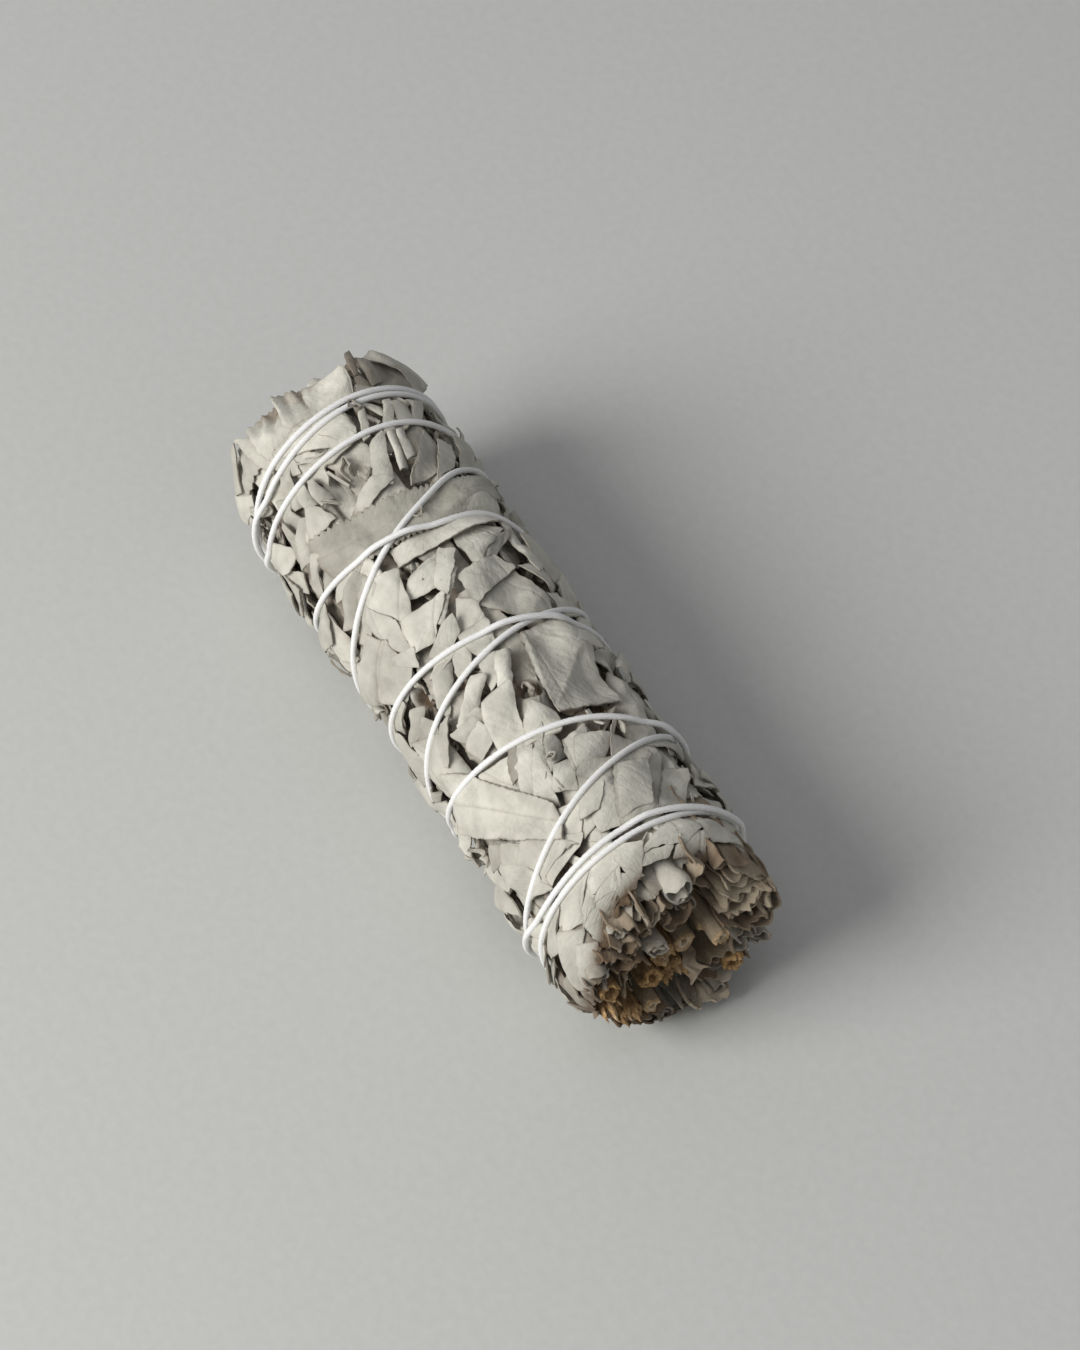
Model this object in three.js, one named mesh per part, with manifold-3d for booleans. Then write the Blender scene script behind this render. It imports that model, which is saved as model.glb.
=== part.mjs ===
// A bundle of dried white sage, tied with one length of cotton string and lying on its side.
// Ten cut stems fill the core. Round them come an inner and a middle layer of leaves, each wound like the
// petals of a bud, and an outer layer laid edge to edge under the string.
// Millimetres, +Z up. +X runs from the cut stem ends to the leaf tips. The origin is on the surface that the
// bundle rests on, under the middle of its box. Angles go round the bundle's axis from the top towards +Y.
import * as THREE from "three";
import { mergeVertices } from "three/addons/utils/BufferGeometryUtils.js";
import Module from "manifold-3d";

// Driving dimensions.
const bundleLength = 102;
const bundleRadius = 16.5; // out to the ends of the outer leaves, which spread past the last turns of string
const clearance = 0.3; // between neighbouring pieces
const leafThickness = 0.6;
const widestWrap = 1.9; // the most that one leaf wraps round the bundle, in radians
const bendStep = 0.3; // how far one flat of a leaf's mesh goes round, in radians
const stringDiameter = 0.9;
const restCut = 0.3; // how deep the outer leaves are pressed flat where the bundle lies
const restGap = 0.1; // between the lowest turns of string and the surface
const cutSpread = 8.6; // length of the spread ends of the leaves at the cut end
const tipSpread = 6; // and at the tips
const stemDiameter = 3.5;
const coreStemDiameter = 3.2;
const stemLength = 72;
const stemTaper = 0.7; // diameter at the far end of a stem over that at its cut
const pithDiameter = 1.3;
const pithDepth = 5;
const leafGap = 1.5; // between two leaves in a row, end to end
const knotLength = 3.4;
const knotWidth = 3;
const knotHeight = 2.4;
const tailLength = 6.5; // the string's two loose ends beyond the knot

// Counts.
const coreStems = 3;
const ringPlaces = 8; // places for stems round the core; one is empty, which leaves a hollow in the cut end
const emptyPlace = 5;
const innerRows = 8;
const middleRows = 10;
const outerRows = 5;
const stringSides = 8;
const stemSides = 10;

// Places that follow from the dimensions.
const half = bundleLength / 2;
const restRadius = bundleRadius - restCut;
const stringRadius = restRadius - restGap - stringDiameter / 2;
const strandPitch = stringDiameter + clearance;
const coreRadius = (coreStemDiameter + clearance) / Math.sqrt(3);
const ringRadius = Math.max(
  (stemDiameter + clearance) / (2 * Math.sin(Math.PI / ringPlaces)),
  coreRadius + (coreStemDiameter + stemDiameter) / 2 + clearance,
);
const outerFace = stringRadius - stringDiameter / 2 - clearance;
const leafZone = [ringRadius + stemDiameter / 2 + clearance, outerFace - leafThickness - clearance];
const zoneMiddle = (leafZone[0] + leafZone[1]) / 2;
const spread = bundleRadius / outerFace - 1;

const { BufferGeometry, BufferAttribute, Vector2, Vector3 } = THREE;
const lerp = THREE.MathUtils.lerp;
const turn = 2 * Math.PI;

const wasm = await Module();
wasm.setup();

// ---- Frame of the bundle ----

// The point at a place along the bundle, an angle round it and a distance from its axis.
function onBundle(x, angle, radius) {
  return new Vector3(x, radius * Math.sin(angle), radius * Math.cos(angle));
}

// How much wider than its middle the bundle is at x: both ends spread beyond the string.
function spreadAt(x) {
  const length = x < 0 ? cutSpread : tipSpread;
  const start = half - length;
  return 1 + spread * THREE.MathUtils.smoothstep(Math.abs(x), start, start + 0.6 * length);
}

// ---- Booleans ----

function toSolid(geometry) {
  const bare = geometry.clone();
  bare.deleteAttribute("normal");
  bare.deleteAttribute("uv");
  const merged = mergeVertices(bare, 1e-4);
  return new wasm.Manifold(
    new wasm.Mesh({
      numProp: 3,
      vertProperties: merged.attributes.position.array,
      triVerts: new Uint32Array(merged.index.array),
    }),
  );
}

function toGeometry(solid) {
  const mesh = solid.getMesh();
  const geometry = new BufferGeometry();
  geometry.setAttribute("position", new BufferAttribute(mesh.vertProperties, 3));
  geometry.setIndex(new BufferAttribute(mesh.triVerts, 1));
  return geometry;
}

// Cuts off what reaches below the surface that the bundle rests on, which leaves a flat face there.
function pressedFlat(geometry) {
  const depth = bundleRadius;
  const ground = new THREE.BoxGeometry(2 * bundleLength, 4 * bundleRadius, depth);
  ground.translate(0, 0, -restRadius - depth / 2);
  return toGeometry(toSolid(geometry).subtract(toSolid(ground)));
}

// ---- Leaves ----

// A layer of rows of leaves between two radii. Each row rises from one edge to the other, so that it passes
// over the next one with the clearance between them, and is as wide as that and a leaf's own width allow.
function windingLayer(rows, from, to) {
  const rise = to - from - leafThickness;
  const room = (rise * turn) / rows / (leafThickness + 1.2 * clearance);
  const angle = Math.min(room, widestWrap);
  return { rows, radius: (from + to) / 2, rise: (rise * angle) / room, angle };
}

// A layer of rows of leaves laid edge to edge at one radius.
function flatLayer(rows, radius) {
  return { rows, radius, rise: 0, angle: turn / rows - clearance / radius };
}

// The width of a blade over its greatest width, from 0 at the leaf's base to 1 at its tip.
const bladeShare = (u) => Math.sin(Math.PI * u ** 0.8) ** 0.5;

// Places along a leaf for its mesh, with extra ones where an end of it spreads.
function leafStations(from, to, steps) {
  const cutEdge = -half + cutSpread;
  const tipEdge = half - tipSpread;
  const a = Math.max(from, cutEdge);
  const b = Math.min(to, tipEdge);
  const places = Array.from({ length: steps + 1 }, (_, i) => lerp(a, b, i / steps));
  if (from < cutEdge) places.unshift(from, lerp(from, cutEdge, 0.5));
  if (to > tipEdge) places.push(lerp(tipEdge, to, 0.5), to);
  return places;
}

// One leaf: a blade of leafThickness that lies along its row. blade is the part of the outline that it keeps.
function leafGeometry(layer, rowAngle, slant, from, to, blade, steps) {
  const across = Math.ceil(layer.angle / bendStep);
  const stations = leafStations(from, to, steps);
  const last = stations.length - 1;
  const geometry = new THREE.BoxGeometry(1, 1, 1, last, across, 1);
  const place = geometry.attributes.position;
  for (let i = 0; i < place.count; i++) {
    const x = stations[Math.round((place.getX(i) + 0.5) * last)];
    const share = bladeShare(lerp(blade[0], blade[1], (x - from) / (to - from)));
    const offset = place.getY(i) * layer.angle * share;
    const radius = layer.radius + (layer.rise * offset) / layer.angle + place.getZ(i) * leafThickness;
    const p = onBundle(x, rowAngle + slant * x + offset, radius * spreadAt(x));
    place.setXYZ(i, p.x, p.y, p.z);
  }
  return geometry;
}

// The share of the bundle's length where a row's first leaf ends and its second begins.
const splitShare = (row, rows) => 0.5 + 0.14 * Math.sin(2.4 * row + rows);

// Both leaves of every row of a layer. The first is cut off with the stems, and the second has its tip.
function leafLayer(name, layer, { firstAngle, slant, steps, material, rest = false }) {
  const leaves = [];
  for (let row = 0; row < layer.rows; row++) {
    const angle = firstAngle + (row * turn) / layer.rows;
    const split = lerp(-half, half, splitShare(row, layer.rows));
    const recess = row % 3;
    const ends = [
      { from: -half + recess, to: split - leafGap / 2, blade: [0.2, 0.96] },
      { from: split + leafGap / 2, to: half - recess, blade: [0.06, 0.97] },
    ];
    for (const { from, to, blade } of ends) {
      const blank = leafGeometry(layer, angle, slant, from, to, blade, steps);
      const mesh = new THREE.Mesh(rest ? pressedFlat(blank) : blank, material);
      leaves.push(mesh);
      mesh.name = `${name}_${String(leaves.length).padStart(2, "0")}`;
    }
  }
  return leaves;
}

// ---- Stems ----

// A tapered stem with a hollow of rotted pith in its cut end, standing on the XY plane.
function stemGeometry(diameter, length) {
  const profile = [
    new Vector2(0, pithDepth),
    new Vector2(pithDiameter / 2, pithDepth),
    new Vector2(pithDiameter / 2, 0),
    new Vector2(diameter / 2, 0),
    new Vector2((diameter / 2) * stemTaper, length),
    new Vector2(0, length),
  ];
  return new THREE.LatheGeometry(profile, stemSides);
}

// How far each stem's cut lies inside the end of the bundle.
const cutDepth = (n) => 1.2 + 1.1 * Math.sin(2.1 * n) ** 2 * (n % 3);

function stems(material) {
  const places = [];
  for (let i = 0; i < coreStems; i++) {
    places.push({ angle: (i * turn) / coreStems, radius: coreRadius, diameter: coreStemDiameter });
  }
  for (let i = 0; i < ringPlaces; i++) {
    if (i !== emptyPlace) {
      places.push({ angle: (i * turn) / ringPlaces, radius: ringRadius, diameter: stemDiameter });
    }
  }
  return places.map(({ angle, radius, diameter }, n) => {
    const mesh = new THREE.Mesh(stemGeometry(diameter, stemLength - 3 * (n % 4)), material);
    mesh.name = `stem_${String(n + 1).padStart(2, "0")}`;
    mesh.rotation.z = -Math.PI / 2;
    mesh.position.copy(onBundle(-half + cutDepth(n), angle, radius));
    return mesh;
  });
}

// ---- String ----

// The string's route: turns wound round the bundle from the top, the place along it as a share of half its
// length, and whole strands of shift where a turn lies beside another. It starts at the knot near the cut end,
// climbs to the tips, doubles there and winds back over itself to the knot.
const route = [
  [-0.64, -0.8, 0],
  [-0.22, -0.76, -1],
  [0, -0.743, -1],
  [0.2, -0.735, -1],
  [0.78, -0.7, 0],
  [1, -0.56, 0],
  [1.1, -0.5, 0],
  [1.75, -0.18, 0],
  [2, -0.058, 0],
  [2.09, -0.022, 0],
  [2.77, 0.24, 0],
  [3, 0.43, 0],
  [3.11, 0.53, 0],
  [3.78, 0.8, 0],
  [4, 0.852, 0],
  [4.13, 0.856, 0],
  [4.78, 0.8, -1],
  [5, 0.852, -1],
  [5.13, 0.856, -1],
  [5.65, 0.757, 0],
  [5.79, 0.712, 0],
  [6.12, 0.715, 0],
  [6.75, 0.45, 0],
  [7, 0.36, 0],
  [7.12, 0.345, 0],
  [7.34, 0.12, 0],
  [7.46, 0.045, 0],
  [7.79, 0.02, 0],
  [8.1, -0.058, 0],
  [8.77, -0.3, 0],
  [9, -0.38, 0],
  [9.11, -0.43, 0],
  [9.78, -0.745, 0],
  [10, -0.743, 0],
  [10.19, -0.785, 0],
  [10.36, -0.8, 0],
].map(([turns, share, strands]) => [turns, share * half + strands * strandPitch]);
const firstTurn = route[0][0];
const lastTurn = route.at(-1)[0];

// The slope of the route at its nth point, from the points on both sides.
function slopeAt(n) {
  const [a, b] = [route[Math.max(n - 1, 0)], route[Math.min(n + 1, route.length - 1)]];
  return (b[1] - a[1]) / (b[0] - a[0]);
}

// The string's place along the bundle after a number of turns: a cubic between the route's points.
function alongAt(turns) {
  const n = Math.max(1, Math.min(route.length - 1, route.findIndex((p) => p[0] >= turns)));
  const [[t0, x0], [t1, x1]] = [route[n - 1], route[n]];
  const [step, u] = [t1 - t0, (turns - t0) / (t1 - t0)];
  const [u2, u3] = [u * u, u * u * u];
  return (
    (2 * u3 - 3 * u2 + 1) * x0 +
    (u3 - 2 * u2 + u) * step * slopeAt(n - 1) +
    (3 * u2 - 2 * u3) * x1 +
    (u3 - u2) * step * slopeAt(n)
  );
}

// Where the string passes over a turn that was wound before it, and how far each pass reaches.
function findPasses() {
  const passes = [];
  const step = 0.002;
  const rampTurns = 0.045;
  for (let back = 1; back < lastTurn - firstTurn; back++) {
    const gap = (t) => alongAt(t) - alongAt(t - back);
    for (let t = firstTurn + back + step; t < lastTurn - step; t += step) {
      if (gap(t) * gap(t - step) <= 0) {
        const slope = Math.abs(gap(t) - gap(t - step)) / step;
        passes.push({ at: t, under: t - back, reach: strandPitch / slope, ramp: rampTurns });
      }
    }
  }
  return passes.sort((a, b) => a.at - b.at);
}

// How high the string rides above the leaves at a number of turns, over the passes given.
function liftAt(turns, passes) {
  return Math.max(
    0,
    ...passes.map(({ at, reach, ramp, lift }) => {
      const past = Math.abs(turns - at) - reach;
      return lift * (1 - THREE.MathUtils.smoothstep(past, 0, ramp));
    }),
  );
}

const passes = [];
for (const pass of findPasses()) {
  passes.push({ ...pass, lift: strandPitch + liftAt(pass.under, passes) });
}

class StringRoute extends THREE.Curve {
  constructor(from, to) {
    super();
    this.from = from;
    this.to = to;
    this.arcLengthDivisions = 4000;
  }

  getPoint(share) {
    const turns = lerp(this.from, this.to, share);
    return onBundle(alongAt(turns), -turns * turn, stringRadius + liftAt(turns, passes));
  }
}

// A round section as a polygon.
function roundSection(diameter) {
  const corners = Array.from({ length: stringSides }, (_, i) => {
    const angle = (i * turn) / stringSides;
    return new Vector2((Math.cos(angle) * diameter) / 2, (Math.sin(angle) * diameter) / 2);
  });
  return new THREE.Shape(corners);
}

function bindingString(material) {
  const knotReach = (knotLength / 2 + clearance) / (turn * stringRadius);
  const path = new StringRoute(firstTurn + knotReach, lastTurn - knotReach);
  const steps = Math.round(path.getLength() / (3.2 * stringDiameter));
  const options = { extrudePath: path, steps, bevelEnabled: false };
  const geometry = new THREE.ExtrudeGeometry(roundSection(stringDiameter), options);
  const mesh = new THREE.Mesh(geometry, material);
  mesh.name = "binding_string";
  return mesh;
}

// The knot that ties the two ends of the string, a rounded lump with two loose tails towards the cut end.
function stringKnot(material) {
  const lump = new THREE.SphereGeometry(0.5, 12, 8);
  lump.scale(knotWidth, knotLength, knotHeight);
  let knot = toSolid(lump);
  for (const side of [-1, 1]) {
    const tail = new THREE.CylinderGeometry(stringDiameter / 2, stringDiameter / 2, tailLength, stringSides);
    tail.translate(0, tailLength / 2, 0);
    tail.rotateZ(Math.PI / 2 + side * 0.35);
    tail.rotateY(0.24);
    tail.translate(0, 0, knotHeight / 6);
    knot = knot.add(toSolid(tail));
  }
  const mesh = new THREE.Mesh(toGeometry(knot), material);
  mesh.name = "string_knot";
  const angle = -lastTurn * turn;
  mesh.position.copy(onBundle(alongAt(lastTurn), angle, outerFace + clearance + knotHeight / 2));
  mesh.rotation.x = -angle;
  return mesh;
}

// ---- Materials and assembly ----

const matte = (color, roughness) => new THREE.MeshStandardMaterial({ color, roughness, metalness: 0 });
const outerLeaf = matte(0xc3c1b4, 0.9);
const middleLeaf = matte(0xb4b0a1, 0.92);
const innerLeaf = matte(0xa09a86, 0.95);
const stemWood = matte(0xa88a5e, 0.85);
const cotton = matte(0xf1efe8, 0.8);

const degrees = THREE.MathUtils.degToRad;
const innerLayer = windingLayer(innerRows, leafZone[0], zoneMiddle - clearance / 2);
const middleLayer = windingLayer(middleRows, zoneMiddle + clearance / 2, leafZone[1]);
const outerLayer = flatLayer(outerRows, outerFace - leafThickness / 2);

const bundle = new THREE.Group();
bundle.name = "sage_bundle";
bundle.add(
  ...stems(stemWood),
  ...leafLayer("inner_leaf", innerLayer, {
    firstAngle: degrees(20),
    slant: 0.003,
    steps: 5,
    material: innerLeaf,
  }),
  ...leafLayer("middle_leaf", middleLayer, {
    firstAngle: degrees(5),
    slant: -0.003,
    steps: 5,
    material: middleLeaf,
  }),
  ...leafLayer("outer_leaf", outerLayer, {
    firstAngle: degrees(180),
    slant: 0.0025,
    steps: 6,
    material: outerLeaf,
    rest: true,
  }),
  bindingString(cotton),
  stringKnot(cotton),
);

// The origin goes under the middle of the bundle's box.
const box = new THREE.Box3().setFromObject(bundle);
bundle.position.set(-(box.min.x + box.max.x) / 2, -(box.min.y + box.max.y) / 2, -box.min.z);

export default bundle;
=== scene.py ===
"""The bundle of dried sage, dressed round its CAD frame. Lengths in the code are millimetres in the bundle's own
coordinates: x along it from the cut end, an angle round it from the top towards +Y, and a distance from its axis."""

import math

import bpy
import numpy as np
from mathutils import Matrix, Vector


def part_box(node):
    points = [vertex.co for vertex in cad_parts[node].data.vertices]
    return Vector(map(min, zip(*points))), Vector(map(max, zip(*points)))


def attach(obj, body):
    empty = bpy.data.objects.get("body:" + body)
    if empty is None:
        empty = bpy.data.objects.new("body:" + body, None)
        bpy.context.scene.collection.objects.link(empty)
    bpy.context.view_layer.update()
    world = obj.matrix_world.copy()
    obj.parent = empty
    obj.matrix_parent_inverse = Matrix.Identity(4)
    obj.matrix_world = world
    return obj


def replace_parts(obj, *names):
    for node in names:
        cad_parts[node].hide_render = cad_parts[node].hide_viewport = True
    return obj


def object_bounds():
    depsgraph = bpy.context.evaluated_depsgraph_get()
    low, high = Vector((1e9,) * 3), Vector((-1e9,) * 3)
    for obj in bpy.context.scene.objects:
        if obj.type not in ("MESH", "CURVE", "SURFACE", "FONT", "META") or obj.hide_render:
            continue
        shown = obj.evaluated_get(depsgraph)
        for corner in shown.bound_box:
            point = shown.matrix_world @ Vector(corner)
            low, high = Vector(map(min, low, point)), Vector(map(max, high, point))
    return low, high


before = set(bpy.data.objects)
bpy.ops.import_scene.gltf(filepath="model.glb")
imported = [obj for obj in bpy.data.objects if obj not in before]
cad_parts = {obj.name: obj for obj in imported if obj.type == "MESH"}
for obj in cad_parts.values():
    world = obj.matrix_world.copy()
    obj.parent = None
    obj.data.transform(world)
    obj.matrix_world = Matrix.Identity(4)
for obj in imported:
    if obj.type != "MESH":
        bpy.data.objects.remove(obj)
cad_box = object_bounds()

MM = 0.001
TURN = 2 * math.pi
RNG = np.random.default_rng(11)

core_boxes = [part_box(f"stem_{n:02d}") for n in (1, 2, 3)]
AXIS_Y = float(np.mean([(lo.y + hi.y) / 2 for lo, hi in core_boxes])) / MM
AXIS_Z = float(np.mean([(lo.z + hi.z) / 2 for lo, hi in core_boxes])) / MM
HALF = (cad_box[1][0] - cad_box[0][0]) / 2 / MM
REST_RADIUS = AXIS_Z  # the surface it lies on is this far below the axis


# ---- Coordinates and smooth noise ----


def place(x, angle, radius):
    """Bundle coordinates to metres in the shared frame, as an array with a last axis of 3."""
    x, angle, radius = np.broadcast_arrays(x, angle, radius)
    y = AXIS_Y + radius * np.sin(angle)
    z = AXIS_Z + radius * np.cos(angle)
    return np.stack([x, y, z], axis=-1) * MM


def smoothstep(value, low, high):
    t = np.clip((value - low) / (high - low), 0, 1)
    return t * t * (3 - 2 * t)


def waves(count, shortest, longest, rng):
    """A smooth random function of two lengths in mm, with a spread of about 1."""
    size = shortest * (longest / shortest) ** rng.random(count)
    way = rng.random(count) * TURN
    phase = rng.random(count) * TURN
    kx, ky = np.cos(way) * TURN / size, np.sin(way) * TURN / size
    gain = np.sqrt(size) / np.sqrt(size.sum()) * 1.4

    def value(a, b):
        a, b = np.broadcast_arrays(a, b)
        total = np.zeros(a.shape)
        for i in range(count):
            total += gain[i] * np.sin(kx[i] * a + ky[i] * b + phase[i])
        return total

    return value


# ---- The string's route, as in part.mjs ----

STRING_DIAMETER = 0.9
CLEARANCE = 0.3
REST_GAP = 0.1  # between the lowest turns and the surface
STRAND_PITCH = STRING_DIAMETER + CLEARANCE
STRING_RADIUS = REST_RADIUS - REST_GAP - STRING_DIAMETER / 2
PASS_STEP = 0.002  # of a turn, for finding the crossings
LIFT_EASE = 0.045  # of a turn, over which the string rises to a crossing
# Turns round the bundle, x as a share of its half length, and strands to shift by where two lie side by side.
ROUTE = np.array(
    [
        (-0.64, -0.8, 0), (-0.22, -0.76, -1), (0, -0.743, -1), (0.2, -0.735, -1), (0.78, -0.7, 0),
        (1, -0.56, 0), (1.1, -0.5, 0), (1.75, -0.18, 0), (2, -0.058, 0), (2.09, -0.022, 0),
        (2.77, 0.24, 0), (3, 0.43, 0), (3.11, 0.53, 0), (3.78, 0.8, 0), (4, 0.852, 0),
        (4.13, 0.856, 0), (4.78, 0.8, -1), (5, 0.852, -1), (5.13, 0.856, -1), (5.65, 0.757, 0),
        (5.79, 0.712, 0), (6.12, 0.715, 0), (6.75, 0.45, 0), (7, 0.36, 0), (7.12, 0.345, 0),
        (7.34, 0.12, 0), (7.46, 0.045, 0), (7.79, 0.02, 0), (8.1, -0.058, 0), (8.77, -0.3, 0),
        (9, -0.38, 0), (9.11, -0.43, 0), (9.78, -0.745, 0), (10, -0.743, 0), (10.19, -0.785, 0),
        (10.36, -0.8, 0),
    ]
)
ROUTE_T = ROUTE[:, 0]
ROUTE_X = ROUTE[:, 1] * HALF + ROUTE[:, 2] * STRAND_PITCH
ROUTE_LAST = len(ROUTE) - 1
before = np.maximum(np.arange(len(ROUTE)) - 1, 0)
after = np.minimum(np.arange(len(ROUTE)) + 1, ROUTE_LAST)
ROUTE_SLOPE = (ROUTE_X[after] - ROUTE_X[before]) / (ROUTE_T[after] - ROUTE_T[before])
FIRST_TURN, LAST_TURN = ROUTE_T[0], ROUTE_T[-1]


def along_at(turns):
    """x of the string after some turns: a cubic through the route's points."""
    turns = np.asarray(turns, float)
    n = np.clip(np.searchsorted(ROUTE_T, turns), 1, ROUTE_LAST)
    t0, t1, x0, x1 = ROUTE_T[n - 1], ROUTE_T[n], ROUTE_X[n - 1], ROUTE_X[n]
    step = t1 - t0
    u = (turns - t0) / step
    u2, u3 = u * u, u * u * u
    return (
        (2 * u3 - 3 * u2 + 1) * x0
        + (u3 - 2 * u2 + u) * step * ROUTE_SLOPE[n - 1]
        + (3 * u2 - 2 * u3) * x1
        + (u3 - u2) * step * ROUTE_SLOPE[n]
    )


def lift_at(turns, passes):
    """How far the string is lifted over the turns below it."""
    lift = np.zeros(np.shape(turns))
    for at, reach, height in passes:
        past = np.abs(np.asarray(turns) - at) - reach
        lift = np.maximum(lift, height * (1 - smoothstep(past, 0, LIFT_EASE)))
    return lift


def find_passes():
    """Where the string passes over an earlier turn: its turn, how far that reaches, and the lift."""
    found = []
    for back in range(1, int(LAST_TURN - FIRST_TURN) + 1):
        t = np.arange(FIRST_TURN + back + PASS_STEP, LAST_TURN - PASS_STEP, PASS_STEP)
        gap = along_at(t) - along_at(t - back)
        before = along_at(t - PASS_STEP) - along_at(t - PASS_STEP - back)
        for k in np.nonzero(gap * before <= 0)[0]:
            slope = abs(gap[k] - before[k]) / PASS_STEP
            found.append((t[k], t[k] - back, STRAND_PITCH / slope))
    passes = []
    for at, under, reach in sorted(found):
        passes.append((at, reach, STRAND_PITCH + float(lift_at(under, passes))))
    return passes


PASSES = find_passes()

# ---- The height map that leaves are laid on ----

STEP_X = 0.4
COLUMNS = 256
MARGIN = 5  # of the map past the bundle's ends
GRID_X0 = -HALF - MARGIN
ROWS = int((2 * HALF + 2 * MARGIN) / STEP_X) + 1
UNROLL = 15.0  # the radius at which widths round the bundle are measured
CORE = 12.7  # how high the wound leaves reach, under the first leaf laid on the map
grid_x = GRID_X0 + STEP_X * np.arange(ROWS)
grid_angle = TURN / COLUMNS * np.arange(COLUMNS)
height = np.full((ROWS, COLUMNS), CORE)


def wrapped(angle):
    """Angles brought to within half a turn of zero."""
    return np.mod(angle + math.pi, TURN) - math.pi


def blur(field, sigma):
    """A map smoothed with a Gaussian of sigma cells."""
    reach = int(math.ceil(2.5 * sigma))
    kernel = np.exp(-0.5 * (np.arange(-reach, reach + 1) / sigma) ** 2)
    kernel /= kernel.sum()
    padded = np.pad(field, ((reach, reach), (0, 0)), mode="edge")
    rows = sum(k * padded[i : i + field.shape[0]] for i, k in enumerate(kernel))
    return sum(k * np.roll(rows, i - reach, axis=1) for i, k in enumerate(kernel))


def widen(field, cells):
    """A map with its high places grown by some cells."""
    result = field
    for _ in range(cells):
        padded = np.pad(result, ((1, 1), (0, 0)), mode="edge")
        result = np.maximum(np.maximum(padded[:-2], padded[2:]), result)
        result = np.maximum(np.maximum(np.roll(result, 1, 1), np.roll(result, -1, 1)), result)
    return result


def sample(field, x, angle):
    """A map's values between its cells."""
    a = np.clip((x - GRID_X0) / STEP_X, 0, ROWS - 1.001)
    b = np.mod(angle, TURN) / TURN * COLUMNS
    i, j = a.astype(int), b.astype(int) % COLUMNS
    fa, fb = a - i, b - np.floor(b)
    j1 = (j + 1) % COLUMNS
    return (
        field[i, j] * (1 - fa) * (1 - fb)
        + field[i + 1, j] * fa * (1 - fb)
        + field[i, j1] * (1 - fa) * fb
        + field[i + 1, j1] * fa * fb
    )


def string_ceiling():
    """How high the leaves may stand near the string: it presses a groove into them."""
    t = np.arange(FIRST_TURN, LAST_TURN, 2 * PASS_STEP)
    x, angle, lift = along_at(t), np.mod(-t * TURN, TURN), lift_at(t, PASSES)
    ceiling = np.full((ROWS, COLUMNS), 30.0)
    bottom = STRING_RADIUS - STRING_DIAMETER / 2
    reach = 16  # cells on each side of the string
    bulge, half_bulge = 1.5, 4.5  # how far the leaves rise beside the groove, and over what distance squared
    for xi, ai, li in zip(x, angle, lift):
        r0 = int((xi - GRID_X0) / STEP_X)
        rows = np.arange(max(r0 - reach, 0), min(r0 + reach + 1, ROWS))
        c0 = int(ai / TURN * COLUMNS)
        cols = np.arange(c0 - reach - 1, c0 + reach + 2) % COLUMNS
        dx = grid_x[rows][:, None] - xi
        da = wrapped(grid_angle[cols] - ai)
        d2 = dx**2 + (da * UNROLL)[None, :] ** 2
        block = bottom + li + 0.12 + bulge * (1 - np.exp(-d2 / half_bulge)) + 0.03 * d2
        patch = np.ix_(rows, cols)
        ceiling[patch] = np.minimum(ceiling[patch], block)
    return ceiling


CEILING = string_ceiling()
OUTERMOST = 16.75  # the radius that no leaf passes
FACE_X = -50.3  # the cut end's foremost part
ROUNDED = 5.3  # how much further in the cut end's top is
RIM = 4.6  # how far back from the cut end the outer leaves start to slope in
RIM_DROP = 3.2  # how far in they come there


def face_x(angle, radius=16.0):
    """Where the cut end is. It is rounded off towards the top."""
    return FACE_X + ROUNDED * smoothstep(radius * np.cos(angle), 3, 17)


def rim_drop(x, angle):
    """How far the outer leaves slope in towards the cut end."""
    into = np.maximum(face_x(angle) + RIM - x, 0)
    return RIM_DROP * np.minimum(into / RIM, 1.15) ** 1.5


def press(x, angle, radius):
    """Radii after the string and the surface below have pressed on them, in the same order as before."""
    top = sample(CEILING, x, angle)
    down = -np.cos(angle)
    ground = np.where(down > 0.2, REST_RADIUS / np.maximum(down, 0.2), 99.0)
    top = np.minimum(top, ground - 0.02)
    top = np.minimum(top, OUTERMOST - rim_drop(x, angle))
    soft = 0.4
    over = radius - (top - soft)
    return np.where(over > 0, top - soft * np.exp(-np.maximum(over, 0) / soft), radius)


# ---- Meshes ----


def grid_faces(nu, nv):
    """Quads of a grid of nu by nv."""
    i, j = np.meshgrid(np.arange(nu), np.arange(nv), indexing="ij")
    a = i * (nv + 1) + j
    return np.stack([a, a + nv + 1, a + nv + 2, a + 1], -1).reshape(-1, 4)


def border_loop(nu, nv):
    """The points round the edge of such a grid, in order."""
    left = np.arange(nu + 1) * (nv + 1)
    right = left + nv
    bottom = np.arange(0, nv)
    top = nu * (nv + 1) + np.arange(nv - 1, 0, -1)
    return np.concatenate([bottom, right, top, left[:0:-1]])


def sheet_shell(surface, thickness):
    """A closed sheet from a grid of points in metres: the outer face, the inner face and the rim."""
    nu, nv = surface.shape[0] - 1, surface.shape[1] - 1
    du = np.gradient(surface, axis=0)
    dv = np.gradient(surface, axis=1)
    normal = np.cross(du, dv)
    normal /= np.linalg.norm(normal, axis=-1, keepdims=True) + 1e-12
    inner = surface - normal * thickness * MM
    verts = np.concatenate([surface.reshape(-1, 3), inner.reshape(-1, 3)])
    outer = grid_faces(nu, nv)
    count = (nu + 1) * (nv + 1)
    loop = border_loop(nu, nv)
    nxt = np.roll(loop, -1)
    rim = np.stack([loop, nxt, nxt + count, loop + count], -1)
    faces = np.concatenate([outer, outer[:, ::-1] + count, rim])
    return verts, faces


UV_SHIFT = [0.0]  # moves on with each sheet, so that no two have the same veins


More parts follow.
